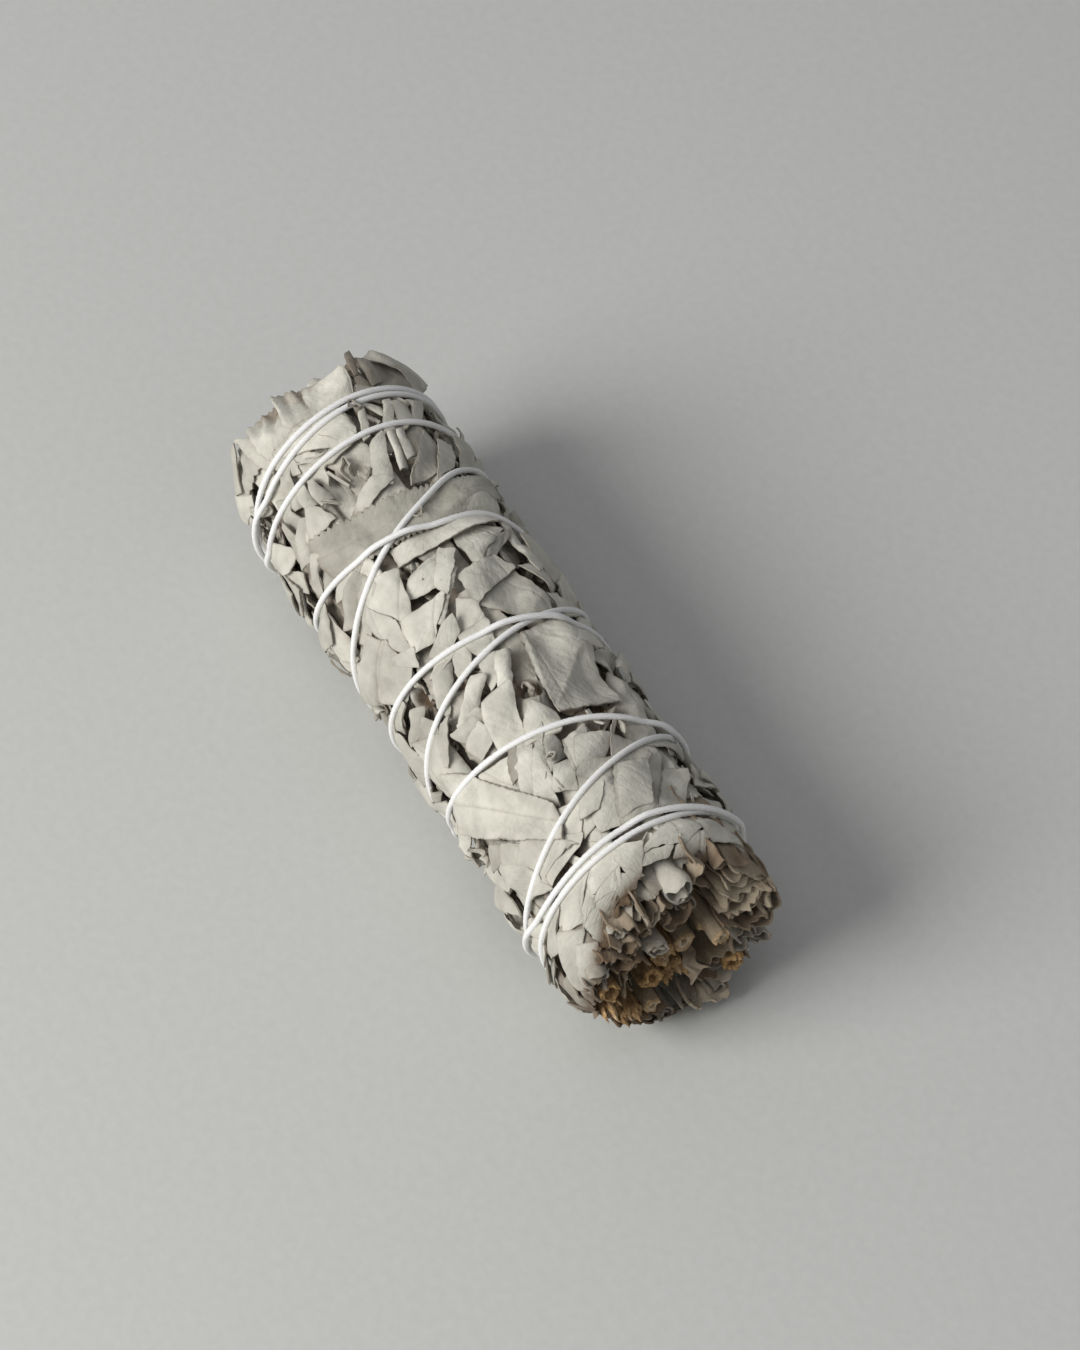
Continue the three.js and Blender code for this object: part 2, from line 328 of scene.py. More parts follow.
def sheet_data(surface, thickness, along, across, tint, shift):
    """A sheet's points, faces, UVs (the blade in mm) and tints (edge, brown with painted shade, and tone), for both
    of its sides.
    """
    verts, faces = sheet_shell(surface, thickness)
    UV_SHIFT[0] += shift
    uv = np.stack(np.broadcast_arrays(along + UV_SHIFT[0], across), -1).reshape(-1, 2)
    colours = np.ones((*surface.shape[:2], 4))
    for channel, value in enumerate(tint):
        colours[..., channel] = value
    colours = colours.reshape(-1, 4)
    return verts, faces, np.concatenate([uv, uv]), np.concatenate([colours, colours])


def tube_faces(rings, sides, first=0):
    """Quads of a tube of rings, and the triangles that close it on two points which follow the rings."""
    i, j = np.meshgrid(np.arange(rings - 1), np.arange(sides), indexing="ij")
    k = (j + 1) % sides
    quads = np.stack([i * sides + j, i * sides + k, (i + 1) * sides + k, (i + 1) * sides + j], -1)
    last, count = (rings - 1) * sides, rings * sides
    caps = []
    for j in range(sides):
        k = (j + 1) % sides
        caps += [(count, k, j), (count + 1, last + j, last + k)]
    return quads.reshape(-1, 4) + first, np.array(caps) + first


SHARP = math.radians(70)  # edges sharper than this aren't smoothed


def build_mesh(name, verts, faces, uv, tint):
    mesh = bpy.data.meshes.new(name)
    mesh.vertices.add(len(verts))
    mesh.vertices.foreach_set("co", np.asarray(verts, np.float32).ravel())
    mesh.loops.add(faces.size)
    mesh.loops.foreach_set("vertex_index", faces.astype(np.int32).ravel())
    mesh.polygons.add(len(faces))
    mesh.polygons.foreach_set("loop_start", np.arange(0, faces.size, faces.shape[1], dtype=np.int32))
    mesh.update(calc_edges=True)
    mesh.polygons.foreach_set("use_smooth", np.ones(len(faces), bool))
    layer = mesh.uv_layers.new(name="UVMap")
    layer.data.foreach_set("uv", np.asarray(uv, np.float32)[faces.ravel()].ravel())
    add_tint(mesh, tint)
    mesh.set_sharp_from_angle(angle=SHARP)
    return mesh


def tube_mesh(name, verts, quads, caps):
    mesh = bpy.data.meshes.new(name)
    mesh.from_pydata(verts.tolist(), [], quads.tolist() + caps.tolist())
    mesh.polygons.foreach_set("use_smooth", np.ones(len(mesh.polygons), bool))
    return mesh


def add_tint(mesh, tint):
    attribute = mesh.attributes.new("tint", "FLOAT_COLOR", "POINT")
    attribute.data.foreach_set("color", np.asarray(tint, np.float32).ravel())


def add_to_scene(name, data):
    thing = bpy.data.objects.new(name, data)
    bpy.context.scene.collection.objects.link(thing)
    return thing


def add_object(name, mesh, material):
    thing = add_to_scene(name, mesh)
    mesh.materials.append(material)
    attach(thing, "root")
    return thing


# ---- Materials ----


class Graph:
    """The nodes of one material, with short ways to add them."""

    def __init__(self, name):
        self.material = bpy.data.materials.new(name)
        self.material.use_nodes = True
        self.nodes, self.links = self.material.node_tree.nodes, self.material.node_tree.links
        self.shader = self.nodes["Principled BSDF"].inputs
        coords = self.nodes.new("ShaderNodeTexCoord").outputs
        self.solid, self.uv = coords["Object"], coords["UV"]

    def feed(self, sockets):
        """Gives each socket a number, a colour or a link."""
        for socket, value in sockets:
            if isinstance(value, (int, float)):
                socket.default_value = value
            elif isinstance(value, tuple):
                socket.default_value = (*value, 1)
            else:
                self.links.new(value, socket)

    def tint(self):
        tint = self.nodes.new("ShaderNodeAttribute")
        tint.attribute_name = "tint"
        split = self.nodes.new("ShaderNodeSeparateColor")
        self.links.new(tint.outputs["Color"], split.inputs[0])
        return split.outputs

    def ramp(self, value, *stops):
        node = self.nodes.new("ShaderNodeValToRGB")
        elements = node.color_ramp.elements
        for element, (position, colour) in zip(elements, (stops[0], stops[-1])):
            element.position, element.color = position, (*colour, 1)
        for position, colour in stops[1:-1]:
            elements.new(position).color = (*colour, 1)
        self.links.new(value, node.inputs[0])
        return node.outputs[0]

    def noise(self, vector, scale, detail=4, rough=0.55):
        node = self.nodes.new("ShaderNodeTexNoise")
        names = ("Scale", "Detail", "Roughness", "Vector")
        self.feed(zip((node.inputs[n] for n in names), (scale, detail, rough, vector)))
        return node.outputs["Fac"]

    def stretched(self, vector, scale):
        node = self.nodes.new("ShaderNodeMapping")
        node.inputs["Scale"].default_value = scale
        self.links.new(vector, node.inputs["Vector"])
        return node.outputs[0]

    def math(self, operation, a, b=0.0, clamp=False):
        node = self.nodes.new("ShaderNodeMath")
        node.operation, node.use_clamp = operation, clamp
        self.feed(zip(node.inputs, (a, b)))
        return node.outputs[0]

    def mix(self, factor, a, b, blend="MIX"):
        node = self.nodes.new("ShaderNodeMix")
        node.data_type, node.blend_type = "RGBA", blend
        self.feed(((node.inputs[0], factor), (node.inputs[6], a), (node.inputs[7], b)))
        return node.outputs[2]

    def bumps(self, *rows):
        """Bumps on one another, from (height, strength, distance), into the shader."""
        normal = None
        for value, strength, distance in rows:
            node = self.nodes.new("ShaderNodeBump")
            node.inputs["Strength"].default_value = strength
            node.inputs["Distance"].default_value = distance
            self.links.new(value, node.inputs["Height"])
            if normal is not None:
                self.links.new(normal, node.inputs["Normal"])
            normal = node.outputs["Normal"]
        self.links.new(normal, self.shader["Normal"])

    def finish(self, colour, roughness, **settings):
        """Sets the shader's colour, roughness and other sockets, and returns the material."""
        self.feed(((self.shader["Base Color"], colour), (self.shader["Roughness"], roughness)))
        for key, value in settings.items():
            self.shader[key.replace("_", " ")].default_value = value
        return self.material


def leaf_material(name, pale, grey, brown):
    """Felted dry leaf. The tint attribute holds edge, brown and tone, where brown also holds painted shade deep in
    the gaps and in the openings, and tone holds painted shade on the lit side; the UV map is the blade in mm.
    """
    g = Graph(name)
    edge, cut, chance = list(g.tint())[:3]
    blotch = g.noise(g.solid, 260, 3)
    colour = g.ramp(blotch, (0.3, grey), (0.68, pale))
    shade = g.ramp(chance, (0.0, (0.68, 0.67, 0.65)), (0.5, (0.95, 0.95, 0.94)), (1.0, (1.12, 1.12, 1.11)))
    colour = g.mix(1.0, colour, shade, "MULTIPLY")

    # Side veins run out and forward from the midrib, and a net of fine veins lies between them.
    blade = g.nodes.new("ShaderNodeSeparateXYZ")
    g.links.new(g.uv, blade.inputs[0])
    across = g.math("ABSOLUTE", blade.outputs[1])
    slanted = g.math("SUBTRACT", blade.outputs[0], g.math("MULTIPLY", across, 1.1))
    wobble = g.math("MULTIPLY", g.noise(g.uv, 0.6, 2), 1.3)
    wave = g.math("SINE", g.math("MULTIPLY", g.math("ADD", slanted, wobble), 2.6))
    side_vein = g.math("POWER", g.math("ABSOLUTE", wave), 0.35)
    midrib = g.math("POWER", g.math("MULTIPLY", across, 2.2, clamp=True), 0.5)
    net = g.nodes.new("ShaderNodeTexVoronoi")
    net.feature = "DISTANCE_TO_EDGE"
    net.inputs["Scale"].default_value = 1.5
    g.links.new(g.uv, net.inputs["Vector"])
    cells = g.math("MULTIPLY", net.outputs["Distance"], 3.2, clamp=True)
    vein_dark = g.math("MULTIPLY", g.math("SUBTRACT", 1.0, midrib), 0.45)
    colour = g.mix(vein_dark, colour, (0.36, 0.33, 0.27))

    # Dry brown along the margin, which also stands as painted shade for the crevices between leaves, brown at the cut
    # with painted shade deep in the gaps and openings, and small dark specks.
    patchy = g.noise(g.solid, 900, 3)
    margin = g.math("MULTIPLY", g.math("POWER", edge, 6.0), g.math("MULTIPLY", patchy, 0.85), clamp=True)
    colour = g.mix(margin, colour, brown)
    end = g.math("MULTIPLY", cut, g.math("ADD", patchy, 0.45), clamp=True)
    colour = g.mix(end, colour, brown)
    speck = g.ramp(g.noise(g.solid, 1500, 2), (0.66, (1, 1, 1)), (0.78, (0.72, 0.68, 0.6)))
    colour = g.mix(0.7, colour, speck, "MULTIPLY")

    g.bumps(
        (midrib, 0.5, 0.00018), (side_vein, 0.3, 0.0001), (cells, 0.35, 0.00006),
        (g.noise(g.solid, 1400, 5, 0.65), 0.5, 0.00014), (g.noise(g.solid, 6500, 2), 0.4, 0.00005),
    )
    rough = g.ramp(blotch, (0.2, (0.78, 0.78, 0.78)), (0.8, (0.95, 0.95, 0.95)))
    return g.finish(colour, rough, Specular_IOR_Level=0.25, Sheen_Weight=0.12, Sheen_Roughness=0.6)


def stem_material():
    """Brown fibrous stem. The tint attribute holds pith, cut face and weathered bark."""
    g = Graph("dry_stem")
    pith, cut, weathered = list(g.tint())[:3]
    grain = g.noise(g.stretched(g.solid, (0.12, 1, 1)), 2600, 4, 0.6)
    bark = g.ramp(grain, (0.25, (0.07, 0.04, 0.02)), (0.5, (0.2, 0.125, 0.06)), (0.75, (0.4, 0.29, 0.17)))
    fibre = g.ramp(
        g.noise(g.solid, 2200, 4, 0.7), (0.3, (0.13, 0.065, 0.02)), (0.5, (0.42, 0.24, 0.09)),
        (0.75, (0.66, 0.5, 0.27)),
    )
    colour = g.mix(cut, bark, fibre)
    colour = g.mix(pith, colour, (0.62, 0.54, 0.4))
    colour = g.mix(weathered, colour, (0.42, 0.4, 0.33))
    g.bumps((grain, 0.7, 0.0003), (g.noise(g.solid, 4200, 3), 0.5, 0.0002))
    return g.finish(colour, 0.85, Specular_IOR_Level=0.25)


def string_material():
    """White cotton. The UV map is turns of twist along and once round, so fibres lie along each ply."""
    g = Graph("cotton_string")
    fibres = g.noise(g.stretched(g.uv, (2.0, 40.0, 1.0)), 1.0, 3, 0.5)
    colour = g.ramp(fibres, (0.3, (0.8, 0.795, 0.78)), (0.65, (0.95, 0.945, 0.935)))
    g.bumps((fibres, 0.6, 0.00012), (g.noise(g.solid, 7000, 2), 0.4, 0.00006))
    return g.finish(colour, 0.75, Sheen_Weight=0.2, Sheen_Roughness=0.5)


LEAF = leaf_material("dry_leaf", (0.64, 0.62, 0.55), (0.44, 0.425, 0.37), (0.13, 0.085, 0.05))
INNER = leaf_material("dry_inner_leaf", (0.4, 0.36, 0.28), (0.22, 0.18, 0.125), (0.16, 0.1, 0.05))
PAGE = leaf_material("dry_cut_leaf", (0.5, 0.43, 0.33), (0.31, 0.255, 0.185), (0.13, 0.075, 0.035))
STEM = stem_material()
COTTON = string_material()

# ---- Leaves ----


def section(kind, s, w, p):
    """The cross-section of a blade: where arc length s from the midrib lies sideways, and how high."""
    w = np.maximum(w, 0.3)
    if kind == "arched":
        rho = 2 * w / p
        return rho * np.sin(s / rho), rho * (np.cos(s / rho) - np.cos(w / rho))
    if kind == "cupped":
        rho = 2 * w / p
        return rho * np.sin(s / rho), rho * (1 - np.cos(s / rho))
    if kind == "folded":
        f = 0.3
        lat = np.sqrt(s * s + f * f) - w / 2
        return lat, f * (1 + np.tanh(s / f)) + p * np.clip(s, 0, None) * 0.12
    if kind == "rolled":
        flat = w * (1 - p)
        rho = np.maximum(w * p / 2.6, 0.15)
        a = np.maximum(np.abs(s) - flat, 0) / rho
        lat = np.sign(s) * (np.minimum(np.abs(s), flat) + rho * np.sin(a))
        return lat, rho * (1 + np.cos(a)) * 0.9
    if kind == "tube":
        a = s / w * p
        rho = w / p * (1 + 0.05 * a)
        return rho * np.sin(a), w / p * 1.15 - rho * np.cos(a)
    if kind == "pleated":
        return s * 0.8, 0.35 * p * np.arcsin(np.sin(s * TURN / 2.6)) / 1.5 + 0.4 * p
    return s, 0 * s  # flat


def outline(u, a, b):
    """Half width of a blade at u along it, as a share of its most."""
    q = a + (b - a) * u
    return np.clip(np.sin(math.pi * np.clip(q, 0, 1) ** 0.82), 0, 1) ** 0.62


END_WAVE = waves(9, 1.5, 8, np.random.default_rng(3))
# Openings between the leaves, sunk in and browned with painted shade: x, degrees, radius and depth.
HOLES = [
    (-1.6, 58, 1.3, 1.2), (-4.3, 35, 1.0, 1.2), (-11.8, 5, 1.5, 1.4), (-17.2, -29, 1.0, 1.2), (-15.2, 56, 1.0, 1.2),
    (46.8, -19, 1.3, 1.2), (40.8, -26, 1.2, 1.2), (-24.0, 17, 0.8, 1.2), (14.3, 23, 0.6, 1.0), (12, -18, 0.9, 1.2),
    (29.5, 66, 0.8, 1.0), (-46, 62, 1.2, 1.2),
]
HOLE_TOP = 13.6  # the radius that their depth is measured from
TOP_STIFF = 2.9  # a leaf at least this stiff bridges the openings
CUT_MOST = 3.0  # the most that a leaf is cut back at the end
TIP_MOST = 50.9  # where the leaves end at the far end
# The map is read no further out than this at the cut end, past its face, and at the far end.
CUT_READ, TIP_READ = 1.2, 48.5
READ_X = np.clip(grid_x[:, None], face_x(grid_angle)[None, :] + CUT_READ, TIP_READ)
NEAREST_ROW = np.round((READ_X - GRID_X0) / STEP_X).astype(int)


def kinks(a, s, count, strength, rng):
    """Straight creases in a blade, as height over arc-length coordinates."""
    total = np.zeros(np.broadcast(a, s).shape)
    for _ in range(count):
        way = rng.normal(0, 0.45) + (math.pi / 2 if rng.random() < 0.8 else 0.3)
        distance = (a - rng.uniform(-0.4, 0.4) * np.ptp(a)) * math.cos(way)
        distance = distance + (s - rng.uniform(-0.35, 0.35) * np.ptp(s)) * math.sin(way)
        total += rng.choice([-1, 1]) * rng.uniform(0.4, 1) * strength * np.sqrt(distance**2 + 0.12**2)
    return total - total.mean()


PAINTED_SHADE_RADII = (13.5, 14.9)  # radii between which a leaf goes from brown painted shade, deep in the gaps, to its own colour
DEEP_PAINTED_SHADE, CUT_BROWN, HOLE_PAINTED_SHADE = 0.75, 0.35, 0.7  # how dark the painted shade is deep in the gaps, how brown the leaves are at the cut, and how dark the painted shade is in the openings
SINK = 0.25  # the most that a sheet's own relief goes down


def settle(px, pa, rise, along, across, edge, thickness, ease, stiff, brown, tone, clean=False):
    """Rests a sheet on what is already there, under the string, and raises the map. Returns its mesh data."""
    cut_x = face_x(pa) + 0.35 * END_WAVE(pa * UNROLL, 0)
    over = np.clip(cut_x - px, 0, CUT_MOST)
    px = np.maximum(px, cut_x) - 0.12 * over
    spread = widen(height[NEAREST_ROW, np.arange(COLUMNS)[None, :]], 2)
    base = sample(blur(spread, stiff), px, pa)
    radius = base + ease + thickness + np.maximum(rise, -SINK)
    radius = press(px, pa, radius)
    for x, degrees, size, depth in HOLES:
        d2 = (px - x) ** 2 + wrapped(pa - math.radians(degrees)) ** 2 * UNROLL**2
        dip = (1 - smoothstep(np.sqrt(d2), size * 0.6, size * 1.3)) * (stiff < TOP_STIFF)
        radius = radius - (radius - (HOLE_TOP - depth)) * dip
        # Painted shade: the openings are browned as if dark inside.
        brown = brown + dip * HOLE_PAINTED_SHADE
    i = np.clip(np.round((px - GRID_X0) / STEP_X).astype(int), 0, ROWS - 1)
    j = np.mod(np.round(pa / TURN * COLUMNS).astype(int), COLUMNS)
    np.maximum.at(height, (i, j), radius)
    # Painted shade: leaves lying low, deep in the gaps, are browned as if in shadow.
    deep = DEEP_PAINTED_SHADE * (1 - smoothstep(radius, *PAINTED_SHADE_RADII))
    cut = CUT_BROWN * smoothstep(cut_x + 3.0 - px, 0, 4)
    brown = 0 if clean else np.clip(brown + deep + cut, 0, 1)
    return sheet_data(place(px, pa, radius), thickness, along, across, (edge, brown, tone), 37.0)


LEAF_STEPS = (0.26, 0.28)  # between a chance leaf's mesh lines, along it and across
PATCH_STEP = 0.25  # and in a patch
FREE_STEP = 0.35  # along a free sheet
WOUND_STEP = 0.5  # and a wound one


def lay_leaf(
    x, angle, length, width, yaw, bend, kind, p, seed, ends, crumple, crease, jag, stiff, tilt, skew=(0.0, 0.0),
    thickness=0.28, ease=0.06, lift_end=(0, 0), toothed=0.1,
):
    """Lays one leaf on what is already there. x, angle: its middle. yaw: how it is turned from lengthwise."""
    rng = np.random.default_rng(1000 + seed)
    nu = max(24, int(length / LEAF_STEPS[0]))
    nv = max(12, int(width / LEAF_STEPS[1]))
    u = np.linspace(0, 1, nu + 1)[:, None]
    v = np.linspace(-1, 1, nv + 1)[None, :]
    half = width / 2 * outline(u, *ends)
    margin = np.abs(v) ** 4
    pitch = rng.uniform(0.7, 1.0)
    scallop = np.abs(np.sin(math.pi * (length * u) / pitch + np.sign(v))) - 0.6
    tear = waves(5, 1.5, 6.0, rng)
    ragged = (toothed * scallop + 0.12 * tear(u * length, np.sign(v) * 7 + 0 * u)) * margin
    s = v * np.maximum(half, 0.25) + np.sign(v) * ragged * np.minimum(half, 1.5) / 1.5
    lat, rise = section(kind, s, half + 0 * v, p)
    end_line = waves(6, 0.9, 4.5, rng)
    a = length * (u - 0.5)
    a = a + (jag[0] * end_line(s, 0) + skew[0] * s) * smoothstep(-u, -0.3, 0)
    a = a + (jag[1] * end_line(s, 9) + skew[1] * s) * smoothstep(u, 0.7, 1)
    side = bend * (u - 0.5) ** 2 * length + lat
    rough = waves(9, 2.5, 9, rng)
    fine = waves(7, 0.9, 2.2, rng)
    rise = rise + crumple * rough(a, s) + 0.03 * fine(a, s) + kinks(a, s, 4, crease, rng)
    rise = rise + lift_end[0] * smoothstep(-u, -0.25, 0) + lift_end[1] * smoothstep(u, 0.75, 1)
    rise = rise + tilt[0] * (2 * u - 1) + tilt[1] * v
    cy, sy = math.cos(yaw), math.sin(yaw)
    px = x + a * cy - side * sy
    pa = angle + (a * sy + side * cy) / UNROLL
    px = np.minimum(px, TIP_MOST + 0.15 * np.sin(side * 2))
    return settle(px, pa, rise, a, s, np.abs(v) + 0 * u, thickness, ease, stiff, 0.0, rng.random())


def patch_relief(kind, p, u, v, half, rng):
    """How high a patch stands over its own edges, along u and across v."""
    round_off = 1 - 0.55 * np.abs(2 * u - 1) ** 7
    if kind == "arched":
        return 0.11 * p * half * (1 - np.abs(v) ** 2.4) * round_off
    if kind == "edged":
        flute = np.arcsin(np.sin(u * 19 * p + 1)) / 1.5
        flute = 0.19 * (1 + v) * flute * (1 + 0.5 * np.sin(u * 5))
        return 0.08 * half * (1 - np.abs(v) ** 2.4) * round_off + flute
    if kind == "cupped":
        return 0.12 * p * half * v * v + 0.1
    if kind == "rolled":
        return p * half * 0.95 * np.sqrt(np.clip(1 - 0.97 * v * v, 0, 1))
    if kind == "folded":
        ridge = rng.uniform(-0.4, 0.4)
        return 0.4 * p * half * (1 - np.abs(v - ridge) / (1 + np.abs(ridge))) * round_off
    return 0.05 * half * (1 - v**4) * round_off  # flat


def side_lengths(xs, arc):
    """The mean length and width of a patch with given corners."""
    reach = [math.hypot(xs[i] - xs[j], arc[i] - arc[j]) for i, j in ((1, 0), (2, 3), (3, 0), (2, 1))]
    return (reach[0] + reach[1]) / 2, (reach[2] + reach[3]) / 2


def between(corners, t, w):
    """The places between four corners at t along and w across."""
    return (corners[0] * (1 - t) + corners[1] * t) * (1 - w) + (corners[3] * (1 - t) + corners[2] * t) * w


def fold_rise(px, ps, x0, degrees, toward_x, toward_degrees, size):
    """A ridge, or a valley, from one place of a leaf towards another."""
    ox, os = px - x0, ps - math.radians(degrees) * UNROLL
    dx, ds = toward_x - x0, math.radians(toward_degrees - degrees) * UNROLL
    reach = math.hypot(dx, ds)
    forward, off = (ox * dx + os * ds) / reach, (ox * ds - os * dx) / reach
    ends = smoothstep(forward, -0.4, 0.6) * (1 - smoothstep(forward, reach * 0.8, reach * 1.1))
    return size * np.exp(-np.abs(off) / 1.1) * ends


def lay_patch(
    kind, p, tone, *corners, seed, turn=0.0, mirror=1, bow=0.0, thickness=0.22, ease=None, stiff=3.5, crumple=0.06,
    crease=0.08, toothed=0.05, tilt=None, ribbed=False, folds=(), clean=False,
):
    """Lays a leaf, or the part of one that shows, with given corners. A tone below zero is a brown one."""
    rng = np.random.default_rng(3000 + seed)
    brown, tone = max(-tone, 0), max(tone, 0)
    xs = np.array([c[0] * mirror for c in corners])
    arc = np.radians([c[1] + turn for c in corners]) * UNROLL
    length, width = side_lengths(xs, arc)
    nu, nv = max(12, int(length / PATCH_STEP)), max(10, int(width / PATCH_STEP))
    u = np.linspace(0, 1, nu + 1)[:, None]
    v = np.linspace(-1, 1, nv + 1)[None, :]
    grow = 1 + 0.6 / width if kind != "rolled" else 1.0
    w = 0.5 + v / 2 * grow * (1 - 0.1 * np.abs(2 * u - 1) ** 5)
    t = 0.5 + (u - 0.5) * (1 + 0.8 / length)
    px = between(xs, t, w) + bow * 4 * u * (1 - u)
    ps = between(arc, t, w)
    if turn == 0:
        level = px
        for _ in range(5):
            px = level + 0.6 * rim_drop(px, ps / UNROLL)
    margin = np.maximum(np.abs(v), np.abs(2 * u - 1)) ** 5
    tear_x, tear_s = waves(7, 1.0, 9, rng), waves(7, 1.0, 9, rng)
    scallop = (np.abs(np.sin(math.pi * length * u / rng.uniform(0.8, 1.1))) - 0.6) * np.sign(v) * np.abs(v) ** 6
    outward = np.array([xs[3] - xs[0], arc[3] - arc[0]]) / max(width, 0.1)
    if kind == "edged":
        toothed = 0.55
    px = px + 0.09 * tear_x(px, ps) * margin + toothed * scallop * outward[0]
    ps = ps + 0.09 * tear_s(px, ps) * margin + toothed * scallop * outward[1]
    half = np.maximum(np.hypot(px[:, -1] - px[:, 0], ps[:, -1] - ps[:, 0])[:, None] / 2, 0.3)
    s = v * half
    a = length * (u - 0.5)
    rough, fine = waves(8, 2.5, 8, rng), waves(7, 0.9, 2.2, rng)
    rise = patch_relief(kind, p, u, v, half, rng) + crumple * rough(px, ps) + 0.025 * fine(px, ps)
    rise = rise + kinks(a + 0 * s, s + 0 * a, 3, crease, rng)
    tilt = rng.uniform(-0.35, 0.35, 2) if tilt is None else tilt
    ease = rng.uniform(0.08, 0.3) if ease is None else ease
    rise = rise + tilt[0] * (2 * u - 1) + tilt[1] * v
    for fold in folds:
        rise = rise + fold_rise(px, ps, *fold)
    across = s if ribbed else s + rng.choice([-1, 1]) * rng.uniform(1.5, 3.5)
    return settle(px, ps / UNROLL, rise, a, across, margin, thickness, ease, stiff, brown, tone, clean)


def join_data(parts):
    """The mesh data of several sheets as one."""
    firsts = np.cumsum([0] + [len(part[0]) for part in parts])
    faces = np.concatenate([part[1] + first for part, first in zip(parts, firsts)])
    verts, uvs, tints = (np.concatenate([part[k] for part in parts]) for k in (0, 2, 3))
    return verts, faces, uvs, tints


def add_leaf(name, data, material, node=None):
    thing = add_object(name, build_mesh(name, *data), material)
    if node:
        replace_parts(thing, node)


def lowest_place(length, width, yaw, span, rng, tries):
    """Of some chance places for a leaf, the one where the bundle is thinnest."""
    best = None
    for _ in range(tries):
        x = rng.uniform(*span)
        angle = rng.uniform(0, TURN)
        a = np.linspace(-0.5, 0.5, 7)[:, None] * length
        b = np.linspace(-0.5, 0.5, 5)[None, :] * width
        xs = x + a * math.cos(yaw) - b * math.sin(yaw)
        angles = angle + (a * math.sin(yaw) + b * math.cos(yaw)) / UNROLL
        level = sample(height, xs, angles).mean()
        if best is None or level < best[0]:
            best = (level, x, angle)
    return best[1], best[2]


# Inner and middle leaves: sheets wound round the stems, seen edge-on in the two ends.

STEM_OUT = 7.72  # where the leaves begin, outside the stems
HOLLOW = (-1.4, 2.4, 3.4)  # the gap in the cut end, across, up and how wide


def sector(angle, middle, half_width):
    """1 within an angle of a middle one, both in degrees, falling to 0 outside."""
    off = np.abs(wrapped(angle - math.radians(middle)))
    return 1 - smoothstep(off, math.radians(half_width) * 0.75, math.radians(half_width) * 1.15)


def face_depth(angle, radius):
    """How far inside the cut end the wound leaves end: deeper in the hollow, and behind the pages and twigs."""
    across, up, wide = HOLLOW
    d2 = (radius * np.sin(angle) - across) ** 2 + (radius * np.cos(angle) - up) ** 2
    depth = 8 * np.exp(-d2 / (2 * wide**2 * 0.55)) + 5.5 * sector(angle, -58, 42)
    return depth + 4.0 * sector(angle, 160, 48) * (radius < 12.2)


def wound_sheet(node, seed, recess):
    """A crumpled leaf in the place of a wound CAD leaf."""
    rng = np.random.default_rng(500 + seed)
    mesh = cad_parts[node].data
    co = np.array([v.co for v in mesh.vertices]) / MM
    x0, x1 = co[:, 0].min(), co[:, 0].max()
    y, z = co[:, 1] - AXIS_Y, co[:, 2] - AXIS_Z
    rad = np.hypot(y, z)
    ang = np.arctan2(y, z)
    middle = math.atan2(np.sin(ang).mean(), np.cos(ang).mean())
    off = wrapped(ang - middle)
    fit = np.polyfit(co[:, 0], off, 1)
    turned = off - np.polyval(fit, co[:, 0])
    calm = np.abs(co[:, 0]) < HALF - 9
    rise = np.polyfit(turned[calm], rad[calm], 1)
    wide = np.ptp(turned)
    nu, nv = int((x1 - x0) / WOUND_STEP), 56
    u = np.linspace(0, 1, nu + 1)[:, None]
    v = np.linspace(-1, 1, nv + 1)[None, :]
    share = 0.55 + 0.45 * outline(u, 0.12, 0.95)
    x = x0 + (x1 - x0) * u + 0 * v
    rough = waves(8, 2.0, 6.0, rng)
    curl = waves(4, 6, 14, rng)
    offset = v * wide / 2 * share * 0.94
    arc = offset * UNROLL * 0.75
    radius = np.polyval(rise, offset) + 0.26 * rough(x * 0.35, arc) + 0.2 * curl(x * 0.2, arc)
    radius = STEM_OUT + (radius - STEM_OUT) * 0.87
    angle = middle + np.polyval(fit, x) + offset
    line = waves(6, 1.2, 5.0, rng)
    if x0 < -HALF + 6:
        start = face_x(angle, radius) + recess - 0.6 + 0.5 * line(arc, 0) + face_depth(angle, radius)
        x = x + (start - x0) * smoothstep(-u, -0.35, 0)
    if x1 > HALF - 6:
        x = x - (recess * 0.8 + 0.7 * line(arc, 4)) * smoothstep(u, 0.75, 1)
    angle = middle + np.polyval(fit, x) + offset
    tint = (np.abs(v), 0.6 * smoothstep(-x, HALF - 12, HALF - 1), rng.random())
    return sheet_data(place(x, angle, radius), 0.26, x, arc, tint, 41.0)


def free_sheet(path, x0, x1, seed, tone, brown, ragged=0.5, thickness=0.28):
    """A leaf whose cross-section follows a path of (across, up) points in mm, from x0 at its cut to x1."""
    rng = np.random.default_rng(900 + seed)
    path = np.asarray(path, float)
    nu = int(abs(x1 - x0) / FREE_STEP)
    u = np.linspace(0, 1, nu + 1)[:, None]
    run = np.concatenate([[0], np.cumsum(np.hypot(*np.diff(path, axis=0).T))])[None, :]
    line = waves(6, 1.0, 4.0, rng)
    x = x0 + (x1 - x0) * u + ragged * line(run, 0) * (1 - u) ** 2
    wobble = waves(6, 3, 9, rng)
    y = path[None, :, 0] + 0.22 * wobble(x, run)
    z = path[None, :, 1] + 0.22 * wobble(x + 50, run)
    surface = np.stack([x + 0 * y, AXIS_Y + y, AXIS_Z + z], -1) * MM
    tint = (np.abs(2 * run / run.max() - 1), brown * (1 - 0.6 * u), tone)
    return sheet_data(surface, thickness, x, run, tint, 43.0)


